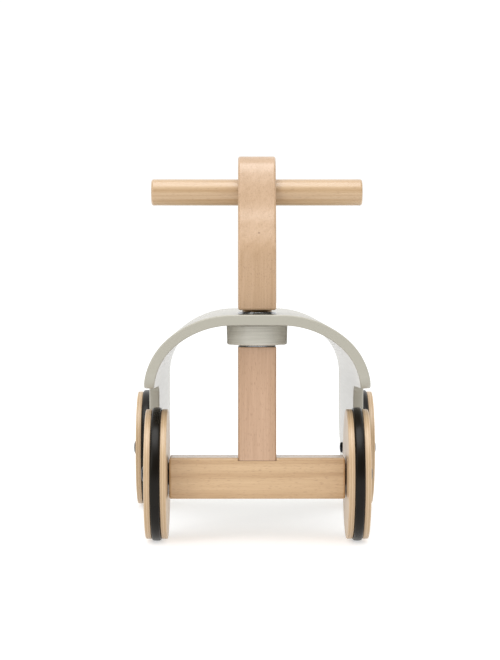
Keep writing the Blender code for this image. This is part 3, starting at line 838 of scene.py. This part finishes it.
@dataclass
class Saddle:
    """The one-piece bent plywood saddle, its legs, and the turned block glued under its crown."""

    thickness: float = 11 * MM
    crown_flat: float = 25.5 * MM
    crown_radius: float = 103 * MM
    crown_turn: float = math.radians(40)
    hip_radius: float = 72 * MM
    edge_rounding: float = 1.8 * MM
    apron_bottom: float = 162 * MM
    apron_drop: float = 5 * MM
    leg_front: float = 93 * MM          # behind the steering axis
    leg_bottom: float = 32 * MM
    block_foot: float = 2.2 * MM        # rounding of the block's lower edge
    block_ease: float = 0.4 * MM        # bevel of its upper edge, and how far the foot is drawn in
    bore_clearance: float = 0.3 * MM
    columns: int = 150
    rows: int = 36

    def __post_init__(self) -> None:
        """Read where the saddle lies from the frame."""
        self.low, self.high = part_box("seat_shell")
        self.axis_y: float = JOINTS["steering"]["pos_m"][1]
        self.axle = Vector(JOINTS["rear_left_wheel_spin"]["pos_m"])
        self.crown_end = self.crown_flat + (self.crown_radius - self.thickness / 2) * self.crown_turn
        hip_length = (self.hip_radius - self.thickness / 2) * (math.pi / 2 - self.crown_turn)
        self.hip_end = self.crown_end + hip_length

    def bend(self, blank: Array) -> Array:
        """Bend points of the flat blank into the saddle.

        Along the section the sheet is level to crown_flat, then turns on crown_radius through
        crown_turn, then on hip_radius to the vertical, then drops straight. Lengths are kept on the
        sheet's middle, and a point's depth is measured in from the outer skin along the normal.

        Args:
            blank: (along the section from the crown, y, depth) as (..., 3).

        Returns:
            Points in the bike's axes.
        """
        along, y, depth = np.abs(blank[..., 0]), blank[..., 1], blank[..., 2]
        middle = self.thickness / 2
        crown_angle = np.clip((along - self.crown_flat) / (self.crown_radius - middle), 0.0, self.crown_turn)
        hip_angle = np.clip((along - self.crown_end) / (self.hip_radius - middle), 0.0,
                            math.pi / 2 - self.crown_turn)
        angle = crown_angle + hip_angle
        on_hip = along > self.crown_end
        shift = np.where(on_hip, self.crown_radius - self.hip_radius, 0.0)
        radius = np.where(on_hip, self.hip_radius, self.crown_radius) - depth
        x = np.minimum(along, self.crown_flat) + shift * math.sin(self.crown_turn) + radius * np.sin(angle)
        z = self.high.z - self.crown_radius + shift * math.cos(self.crown_turn) + radius * np.cos(angle)
        z = z - np.maximum(along - self.hip_end, 0.0)
        return np.stack((np.sign(blank[..., 0]) * x, y, z), -1)

    def along_at(self, z: Array) -> Array:
        """Length along the section at which the sheet's middle reaches a height."""
        along = np.linspace(0.0, self.hip_end + 0.2, 4000)
        points = np.stack((along, along * 0.0, np.full_like(along, self.thickness / 2)), -1)
        return np.interp(-z, -self.bend(points)[:, 2], along)

    def edge_path(self, corners: Sequence[tuple[float, float, float]]) -> Array:
        """One long edge of the blank's +X half, from crown to foot.

        Args:
            corners: (y, z, radius) corners of the side view, starting on the saddle's upright end.

        Returns:
            (along, y) points, evenly spaced along the edge.
        """
        (y0, z0, _), (y1, z1, _) = corners[0], corners[-1]
        loop = rounded_polygon([*corners, ((y0 + y1) / 2, z1 - 0.5, 0.0)], 1 * MM)
        end = int(np.argmin(np.linalg.norm(loop - (y1, z1), axis=1)))
        side_view = loop[:end + 1]
        flat = np.stack((self.along_at(side_view[:, 1]), side_view[:, 0]), -1)
        crown = np.linspace((0.0, y0), flat[0], 60)[:-1]
        path = np.vstack((crown, flat))
        length = np.concatenate(((0.0,), np.cumsum(np.linalg.norm(np.diff(path, axis=0), axis=1))))
        wanted = np.linspace(0.0, length[-1], self.columns)
        return np.stack([np.interp(wanted, length, path[:, axis]) for axis in (0, 1)], -1)

    def blank_edges(self) -> list[Array]:
        """Front and rear edges of the whole blank, from the -X foot over the crown to the +X foot."""
        shoulder = self.apron_bottom + 30 * MM
        leg_y = self.axis_y + self.leg_front
        front = self.edge_path([
            (self.low.y, shoulder, 0.0), (self.low.y, self.apron_bottom, 13 * MM),
            (leg_y, self.apron_bottom - self.apron_drop, 12 * MM), (leg_y, 112 * MM, 45 * MM),
            (self.axle.y - 30 * MM, self.leg_bottom, 60 * MM), (self.axle.y - 8 * MM, self.leg_bottom, 0.0)])
        rear = self.edge_path([
            (self.high.y, shoulder, 0.0), (self.high.y, 100 * MM, 45 * MM),
            (self.axle.y + 38 * MM, self.leg_bottom, 45 * MM), (self.axle.y + 10 * MM, self.leg_bottom, 0.0)])
        return [np.vstack((edge[:0:-1] * (-1, 1), edge)) for edge in (front, rear)]

    def ruled(self, front: Array, rear: Array) -> Array:
        """Points of the grid ruled from the front edge to the rear edge, row by row."""
        share = np.linspace(0.0, 1.0, self.rows + 1)[:, None, None]
        return front[None] * (1 - share) + rear[None] * share

    def shell(self) -> Shape:
        """The bent sheet with rounded edges.

        The blank is a grid ruled from its front edge to its rear edge. Both skins are the grid with its
        border drawn in by the edge rounding, and a rounded strip joins them all round. Every point is
        then bent.

        Returns:
            The closed shape.
        """
        front, rear = self.blank_edges()
        count = len(front)
        number = np.arange((self.rows + 1) * count).reshape(self.rows + 1, count)
        around = np.concatenate((number[0], number[1:-1, -1], number[-1, ::-1], number[-2:0:-1, 0]))
        border = self.ruled(front, rear).reshape(-1, 2)[around]
        inset = border - outward(border) * self.edge_rounding
        rear_start = count + self.rows - 1
        grid = self.ruled(inset[:count], inset[rear_start:rear_start + count][::-1])
        skins = [np.concatenate((grid, np.full((*grid.shape[:2], 1), depth)), -1).reshape(-1, 3)
                 for depth in (0.0, self.thickness)]
        section = edge_rows(self.thickness, self.edge_rounding)[1:-1]
        strip = border[None] - section[:, :1, None] * outward(border)[None]
        depth = np.broadcast_to((self.thickness / 2 - section[:, 1])[:, None, None], (*strip.shape[:2], 1))
        strip = np.concatenate((strip, depth), -1).reshape(-1, 3)

        quads = grid_quads(self.rows + 1, count)
        rows = 2 * number.size + np.arange(len(strip)).reshape(len(section), -1)
        rows = np.vstack((around, rows, around + number.size))
        beside = np.roll(rows, -1, axis=1)
        ring = np.stack((rows[:-1], rows[1:], beside[1:], beside[:-1]), -1).reshape(-1, 4)
        faces = np.vstack((quads[:, ::-1], quads + number.size, ring))
        return Shape(self.bend(np.vstack((*skins, strip))), faces.tolist())

    def build(self) -> None:
        """Make the saddle and its block."""
        bush_low, bush_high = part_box("steering_bush_upper")
        bore = (bush_high.x - bush_low.x) / 2 + self.bore_clearance
        shell = mesh_object("saddle", self.shell())
        drill(shell, bore, self.high.z - 0.03, self.high.z + 0.01, Axis.PLUS_Z, (0, self.axis_y, 0))
        drill(shell, AXLE_BORE, -0.2, 0.2, Axis.PLUS_X, (0, self.axle.y, self.axle.z))
        finish_piece(shell, GreyLacquer("satin_grey_lacquer").build(), "frame", "seat_shell")

        low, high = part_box("steering_block")
        radius = (high.x - low.x) / 2
        inner = radius - self.block_ease
        foot = arc((inner - self.block_foot, low.z + self.block_foot), self.block_foot, 0, -90, 6)
        profile = [(bore, high.z), (inner, high.z), (radius, high.z - self.block_ease),
                   *foot.tolist(), (bore, low.z)]
        block = mesh_object("steering_block_turned", turned(profile, Axis.PLUS_Z, (0, self.axis_y, 0), 160))
        lacquer = GreyLacquer("turned_grey_lacquer", "C0BDB2", "A09C90", turned=True, varnish=1.0)
        finish_piece(block, lacquer.build(), "frame", "steering_block")


@dataclass
class SteeringPosts:
    """The curved head, the bar, the stem and the cross beam, all in oiled beech."""

    rounding: float = 2.6 * MM
    end_rounding: float = 0.6 * MM
    beam_end_rounding: float = 2.5 * MM
    bar_rounding: float = 2.4 * MM
    bar_clearance: float = 0.15 * MM
    grub_bore: float = 4.3 * MM
    screw_recess: float = 5.1 * MM          # radius of the hole over the bar's screw
    screw_cover: float = 3 * MM             # how far the recess runs down over that screw's head
    housing_clearance: float = 0.15 * MM    # on each side of the stem and under it
    beam_screw_clearance: float = 0.3 * MM
    beam_screw_depth: float = 3.5 * MM      # how far the counterbore runs up over the beam screw's head

    def __post_init__(self) -> None:
        """Read the steering axis from the frame."""
        self.axis_y: float = JOINTS["steering"]["pos_m"][1]

    def head_outline(self, low: Vector, high: Vector) -> Array:
        """Side view of the head, counter-clockwise from its rear foot.

        Args:
            low: Lowest corner of the head's box.
            high: Its highest corner.

        Returns:
            (behind the steering axis, z) points.
        """
        front = [(-0.0210, low.z), (-0.0205, 0.275), (-0.0190, 0.305), (-0.0095, 0.331), (0.0, 0.352),
                 (0.0095, 0.379), (0.0195, 0.397), (0.0360, high.z)]
        back = [(0.0535, 0.397), (0.0622, 0.378), (0.0545, 0.353), (0.0385, 0.328), (0.0295, 0.300),
                (0.0245, 0.266), (0.0210, low.z)]
        path = smooth_path(front + back)[::-1]
        path = np.minimum(path, (1.0, high.z))
        inner = path[path[:, 1] > low.z + 2 * self.rounding]
        corners = [(*path[0], self.rounding), *[(*point, 0.0) for point in inner.tolist()],
                   (*path[-1], self.rounding)]
        return rounded_polygon(corners)

    def grub_hole(self, piece: bpy.types.Object, screw: str) -> None:
        """Bore a piece from behind for its grub screw."""
        low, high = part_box(screw)
        drill(piece, self.grub_bore, low.y, 0.0, Axis.PLUS_Y, (0.0, 0.0, (low.z + high.z) / 2))

    def head(self) -> None:
        """Make the head: its side view thickened across the bike, bored for the bar and its screws."""
        low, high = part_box("steering_head")
        head = mesh_object("head_post", slab(self.head_outline(low, high), high.x - low.x, self.rounding,
                                             Axis.PLUS_X, (0.0, self.axis_y, 0.0)))
        bar_low, bar_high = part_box("handlebar")
        bar = middle_of("handlebar")
        drill(head, (bar_high.z - bar_low.z) / 2 + self.bar_clearance, -0.05, 0.05, Axis.PLUS_X,
              (0, bar.y, bar.z))
        drill(head, self.screw_recess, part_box("handlebar_screw")[1].y - self.screw_cover, 0.0, Axis.PLUS_Y,
              (0.0, 0.0, bar.z))
        self.grub_hole(head, "head_grub_screw")
        wood = OiledWood("oiled_beech_head", "BE9F80", "AB8B69", "836146", pith=(0.05, 0.02, 0.1),
                         ring_share=0.05, fleck_stretch=0.5, knot=(0.002, 0.323))
        finish_piece(head, wood.build(), "steering", "steering_head")

    def bar(self) -> None:
        """Make the bar: a dowel whose ends are eased with quarter rounds."""
        low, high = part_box("handlebar")
        centre = (low + high) / 2
        radius, end = (high.z - low.z) / 2, high.x
        ease = arc((radius - self.bar_rounding, end - self.bar_rounding), self.bar_rounding, 90, 0, 8)
        profile = np.vstack(((0.0, end), ease, ease[::-1] * (1, -1), (0.0, -end)))
        bar = mesh_object("grip_bar", turned(profile.tolist(), Axis.PLUS_X, (0.0, centre.y, centre.z), 128))
        wood = OiledWood("oiled_beech_bar", "C0A37F", "AB8A64", "866443", Grain.ACROSS,
                         pith=(0.01, 0.03, 0.0), ring_mm=5.5, ring_share=0.16, fleck_amount=0.3)
        finish_piece(bar, wood.build(), "steering", "handlebar")

    def stem(self) -> None:
        """Make the stem: a square post with eased long edges, drilled from behind for its grub screw."""
        low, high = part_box("stem_post")
        square = rounded_rectangle(high.x - low.x, high.y - low.y, self.rounding)
        stem = mesh_object("stem", slab(square, high.z - low.z, self.end_rounding, Axis.PLUS_Z,
                                        (low + high) / 2))
        self.grub_hole(stem, "stem_grub_screw")
        wood = OiledWood("oiled_beech_stem", "C09D80", "AA8768", "886445", pith=(0.03, 0.0, 0.45),
                         ring_share=0.12, fleck_stretch=0.15)
        finish_piece(stem, wood.build(), "steering", "stem_post")

    def beam(self) -> None:
        """Make the cross beam: a long block with all its edges eased, housed on top for the stem."""
        low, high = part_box("front_beam")
        centre = (low + high) / 2
        section = rounded_rectangle(high.y - low.y, high.z - low.z, self.rounding)
        beam = mesh_object("cross_beam", slab(section, high.x - low.x, self.beam_end_rounding, Axis.PLUS_X,
                                              centre))
        stem_low, stem_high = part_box("stem_post")
        length, height = 0.1, 0.02          # of the cutter, longer than the beam is deep
        cut(beam, slab(rounded_rectangle(length, height, 0.1 * MM),
                       stem_high.x - stem_low.x + 2 * self.housing_clearance, 0.05 * MM, Axis.PLUS_X,
                       (0.0, centre.y, stem_low.z + height / 2 - self.housing_clearance)))
        for word in ("left", "right"):
            screw_low, screw_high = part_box(f"beam_screw_{word}")
            middle = (screw_low + screw_high) / 2
            drill(beam, (screw_high.x - screw_low.x) / 2 + self.beam_screw_clearance, 0.0,
                  screw_low.z + self.beam_screw_depth, Axis.PLUS_Z, (middle.x, middle.y, 0.0))
        wood = OiledWood("oiled_beech_beam", "C8A881", "B08D64", "8A6643", Grain.ACROSS,
                         pith=(0.02, 0.055, 0.0), ring_mm=6.0, ring_share=0.20, fleck_stretch=0.15,
                         fleck_amount=0.32)
        finish_piece(beam, wood.build(), "steering", "front_beam")

    def build(self) -> None:
        """Make the four beech pieces."""
        self.head()
        self.bar()
        self.stem()
        self.beam()


@dataclass
class Wheel:
    """One wheel: two plywood discs with a rubber tyre between them."""

    word: str
    stock: Stock
    rim_rounding: float = 1.2 * MM
    shoulder: float = 1.6 * MM
    crown: float = 0.3 * MM
    core_clearance: float = 0.3 * MM
    bore_nick: float = 0.3 * MM         # bevel round a disc's bore
    steps: int = 144

    def __post_init__(self) -> None:
        """Read the side the wheel is on from its outer disc."""
        self.axis = Axis.PLUS_X if middle_of(f"{self.word}_disc_outer").x > 0 else Axis.MINUS_X
        self.hardware = TurnedHardware(self.stock)

    def disc(self, place: str) -> None:
        """Make one plywood disc, its rim eased with quarter rounds and its bore with small ones.

        Args:
            place: "outer" or "inner".
        """
        name = f"{self.word}_disc_{place}"
        centre, radius, low, high = self.hardware.extent(name, self.axis)
        bush = self.hardware.extent(f"{self.word}_bush", self.axis)[1] + self.core_clearance
        ease = arc((radius - self.rim_rounding, high - self.rim_rounding), self.rim_rounding, 90, 0, 5)
        lower = arc((radius - self.rim_rounding, low + self.rim_rounding), self.rim_rounding, 0, -90, 5)
        nick = self.bore_nick
        profile = [*ease.tolist(), *lower.tolist(), (bush + nick, low), (bush, low + nick),
                   (bush, high - nick), (bush + nick, high)]
        piece = mesh_object(f"{name}_ply", turned(profile, self.axis, centre, self.steps))
        middle = centre + Vector(self.axis.value[2]) * (low + high) / 2
        ply = BirchPlywood(f"birch_ply_{name}", tuple(middle), high - low)
        finish_piece(piece, ply.build(), body_of(name), name)

    def tyre(self) -> None:
        """Make the tyre.

        The tread's radius falls from the middle with the square of the distance, by crown in all, and
        quarter rounds lead into the two sides.
        """
        name = f"{self.word}_tyre"
        centre, radius, low, high = self.hardware.extent(name, self.axis)
        core = self.hardware.extent(f"{self.word}_core", self.axis)[1] + self.core_clearance
        middle, half = (low + high) / 2, (high - low) / 2
        edge = radius - self.crown
        upper = arc((edge - self.shoulder, high - self.shoulder), self.shoulder, 90, 0, 5)
        lower = upper[::-1] * (1, -1) + (0, 2 * middle)
        across = np.linspace(half - self.shoulder, self.shoulder - half, 9)[1:-1]
        tread = np.stack((radius - self.crown * (across / (half - self.shoulder)) ** 2, middle + across), -1)
        profile = np.vstack((upper, tread, lower, (core, low), (core, high)))
        piece = mesh_object(f"{name}_moulded", turned(profile.tolist(), self.axis, centre, self.steps))
        finish_piece(piece, self.stock.rubber, body_of(name), name)

    def build(self) -> None:
        """Make the wheel's visible pieces and dress its core."""
        self.disc("outer")
        self.disc("inner")
        self.tyre()
        self.hardware.ring(f"{self.word}_bush", AXLE_BORE, self.axis, "nylon")
        core = f"{self.word}_core"
        low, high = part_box(core)
        dress(core, BirchPlywood(f"birch_ply_{core}", tuple(middle_of(core)), high.x - low.x, 7).build())


@dataclass
class Fasteners:
    """Bolts, sleeves, washers, spacers and bearings."""

    stock: Stock
    front_head: float = 3.6 * MM
    head_radius: float = 8.5 * MM
    sleeve_head: float = 3.0 * MM
    sleeve_radius: float = 6.5 * MM
    bolt_bore: float = 3.3 * MM         # radius of every hole over a 6 mm bolt
    spindle_bore: float = 7.3 * MM
    ring_edge: float = 0.15 * MM        # rounding of the axles' washers and spacers

    def __post_init__(self) -> None:
        """Set up the turning of round pieces."""
        self.hardware = TurnedHardware(self.stock)

    def front_axle(self, word: str, axis: Axis) -> None:
        """Make one front wheel's shoulder bolt, spacer and washer."""
        spacer, bolt = f"front_spacer_{word}", f"front_axle_bolt_{word}"
        self.hardware.ring(spacer, AXLE_BORE, axis, "black_steel", self.ring_edge)
        self.hardware.ring(f"front_hub_washer_{word}", AXLE_BORE, axis, "steel", self.ring_edge)
        _, _, low, high = self.hardware.extent(bolt, axis)
        seat = high - self.front_head
        beam_end = self.hardware.extent(spacer, axis)[2]
        shank = [(5 * MM, seat), (5 * MM, beam_end), (4 * MM, beam_end), (4 * MM, low + 0.5 * MM),
                 (3.5 * MM, low), (0.0, low)]
        self.hardware.button_bolt(bolt, axis, shank, self.front_head, self.head_radius)

    def rear_axle(self, word: str, axis: Axis, inward: Axis) -> None:
        """Make one rear wheel's sleeve nut, bolt, spacer and washer."""
        sleeve, bolt = f"rear_axle_sleeve_{word}", f"rear_axle_bolt_{word}"
        self.hardware.ring(f"rear_spacer_{word}", AXLE_BORE, axis, "black_steel", self.ring_edge)
        self.hardware.ring(f"rear_hub_washer_{word}", self.bolt_bore, axis, "steel", self.ring_edge)
        _, _, low, high = self.hardware.extent(bolt, axis)
        shank = [(3 * MM, high - self.front_head), (3 * MM, low + 0.4 * MM), (2.6 * MM, low), (0.0, low)]
        self.hardware.button_bolt(bolt, axis, shank, self.front_head, self.head_radius)
        _, _, tip, crown = self.hardware.extent(sleeve, inward)
        bore_end = 0.3 * MM - self.hardware.extent(f"rear_wheel_{word}_bush", axis)[3]
        barrel = [(5 * MM, crown - self.sleeve_head), (5 * MM, bore_end), (self.bolt_bore, bore_end),
                  (self.bolt_bore, tip), (0.0, tip)]
        self.hardware.button_bolt(sleeve, inward, barrel, self.sleeve_head, self.sleeve_radius,
                                  key=2 * MM, key_depth=1.5 * MM)

    def steering(self) -> None:
        """Make the thrust bearing's rings and dress the pieces that stay as they are."""
        for name, slot, rounding in (("thrust_washer_upper", "steel", 0.3 * MM),
                                     ("thrust_ring", "bronze", 0.2 * MM),
                                     ("thrust_washer_lower", "steel", 0.2 * MM)):
            self.hardware.ring(name, self.spindle_bore, Axis.PLUS_Z, slot, rounding)
        for name in ("steering_bush_upper", "steering_bush_lower"):
            dress(name, self.stock.nylon)
        for name in ("steering_spindle", "steering_stop_pin", "axle_insert_left", "axle_insert_right"):
            dress(name, self.stock.zinc)

    def screws(self) -> None:
        """Make the two headless grub screws and the three countersunk wood screws."""
        for name in ("head_grub_screw", "stem_grub_screw"):
            _, radius, low, high = self.hardware.extent(name, Axis.PLUS_Y)
            self.hardware.socket_screw(name, Axis.PLUS_Y, "black_steel", 2 * MM, 2 * MM, [
                (radius - 0.4 * MM, high), (radius, high - 0.4 * MM), (radius, low + 0.5 * MM),
                (radius - 0.5 * MM, low)])
        beam_head = self.hardware.extent("beam_screw_left", Axis.MINUS_Z)[1]
        for name, axis, head, shank, key in (
                ("handlebar_screw", Axis.PLUS_Y, 4.8 * MM, 2.5 * MM, 1.5 * MM),
                ("beam_screw_left", Axis.MINUS_Z, beam_head, 3 * MM, 2 * MM),
                ("beam_screw_right", Axis.MINUS_Z, beam_head, 3 * MM, 2 * MM)):
            _, _, low, high = self.hardware.extent(name, axis)
            self.hardware.socket_screw(name, axis, "steel", key, 1.6 * MM, [
                (head - 0.2 * MM, high), (head, high - 0.2 * MM), (head, high - 0.6 * MM),
                (shank, high - 3 * MM), (shank, low + 4 * MM)])

    def build(self) -> None:
        """Make all the metal."""
        self.steering()
        self.screws()
        for word, axis, inward in (("left", Axis.PLUS_X, Axis.MINUS_X), ("right", Axis.MINUS_X, Axis.PLUS_X)):
            self.front_axle(word, axis)
            self.rear_axle(word, axis, inward)


# --- Studio --------------------------------------------------------------------------------------

@dataclass
class Studio:
    """White floor that the lamps overexpose, even white surroundings, lamps, a dark card and the camera."""

    lens: float = 109.1
    sensor: float = 36.0
    distance: float = 2.100             # camera to steering axis
    camera_x: float = -0.016
    camera_z: float = 0.276
    tilt: float = math.radians(1.49)
    turn: float = math.radians(0.235)
    world_level: float = 1.05
    floor_half: float = 20.0
    floor_glow: float = 0.55
    overhead_power: float = 1.45        # watts per square metre
    overhead_width: float = math.radians(42)
    overhead_aim: tuple[float, float, float] = (0.05, 0.30, -1.0)
    key_power: float = 8.0              # watts
    key_size: tuple[float, float] = (0.5, 1.2)
    key_place: tuple[float, float, float] = (-1.3, -2.0, 1.1)
    key_target: tuple[float, float, float] = (0.0, -0.1, 0.2)
    card_half: float = 2.4              # half the dark card's width
    card_far: float = -3.3              # y of its back
    card_near: float = 0.2              # y of its two wings' ends
    card_top: float = 2.8

    def floor(self) -> None:
        """Make the floor: a fine-grained white sheet, faintly lit from below, that shows only deep shade."""
        half = self.floor_half
        corners = np.array([(-half, -half, 0), (half, -half, 0), (half, half, 0), (-half, half, 0)], float)
        floor = mesh_object("studio_floor", Shape(corners, [[0, 1, 2, 3]]))
        paper = StudioSheet("matt_white_paper", "D9D9D9", "D5D5D5", 300.0, 0.9, self.floor_glow)
        floor.data.materials.append(paper.build())

    def lamp(self, name: str, kind: str, power: float, facing: Vector) -> bpy.types.Object:
        """Hang a lamp.

        Args:
            name: The lamp's name.
            kind: Its type.
            power: Its power.
            facing: The way it shines.

        Returns:
            The lamp's object, at the origin.
        """
        light = bpy.data.lights.new(name, kind)
        light.energy = power
        made = scene_object(name, light)
        made.rotation_euler = facing.to_track_quat("-Z", "Y").to_euler()
        return made

    def key(self) -> None:
        """Hang a soft upright light to the left of the camera."""
        place = Vector(self.key_place)
        made = self.lamp("key", "AREA", self.key_power, Vector(self.key_target) - place)
        made.location = place
        made.data.shape = "RECTANGLE"
        made.data.size, made.data.size_y = self.key_size

    def overhead(self) -> None:
        """Hang a wide overhead light in front of the bike, kept off the floor so that it stays white."""
        made = self.lamp("overhead", "SUN", self.overhead_power, Vector(self.overhead_aim))
        made.data.angle = self.overhead_width
        unlit = bpy.data.collections.new("unlit_by_overhead")
        unlit.objects.link(bpy.data.objects["studio_floor"])
        unlit.collection_objects[0].light_linking.link_state = "EXCLUDE"
        made.light_linking.receiver_collection = unlit

    def dark_card(self) -> None:
        """Fold a dark card round the camera's side, seen only in reflections, so that rubber stays black."""
        half, far, near = self.card_half, self.card_far, self.card_near
        foot = ((-half, near), (-half, far), (half, far), (half, near))
        corners = np.array([(x, y, z) for z in (0.0, self.card_top) for x, y in foot])
        card = mesh_object("dark_card", Shape(corners, [[k, k + 1, k + 5, k + 4] for k in range(3)]))
        card.data.materials.append(StudioSheet("black_studio_card", "1A1A1A", "242424", 4.0).build())
        for ray in ("camera", "diffuse", "transmission", "volume_scatter", "shadow"):
            setattr(card, f"visible_{ray}", False)

    def surroundings(self) -> None:
        """Set even white surroundings and the plain view transform."""
        scene = bpy.context.scene
        world = bpy.data.worlds.new("white_studio")
        world.use_nodes = True
        feed(world.node_tree, world.node_tree.nodes["Background"], {
            "Color": WHITE, "Strength": self.world_level})
        scene.world = world
        scene.view_settings.view_transform = "Standard"
        scene.view_settings.look = "None"

    def camera(self) -> None:
        """Stand the camera level with the saddle in front of the bike, tipped slightly down."""
        lens = bpy.data.cameras.new("front_camera")
        lens.lens = self.lens
        lens.sensor_width = self.sensor
        lens.clip_end = 50.0
        made = scene_object("front_camera", lens)
        made.location = (self.camera_x, JOINTS["steering"]["pos_m"][1] - self.distance, self.camera_z)
        made.rotation_euler = (math.pi / 2 - self.tilt, 0.0, -self.turn)
        bpy.context.scene.camera = made

    def build(self) -> None:
        """Set the stage."""
        self.floor()
        self.surroundings()
        self.dark_card()
        self.overhead()
        self.key()
        self.camera()


def main() -> None:
    """Build the studio and the bike's looks in order."""
    stock = Stock()
    Studio().build()
    Saddle().build()
    SteeringPosts().build()
    for place in ("front", "rear"):
        for side in ("left", "right"):
            Wheel(f"{place}_wheel_{side}", stock).build()
    Fasteners(stock).build()


if __name__ == "__main__":
    main()
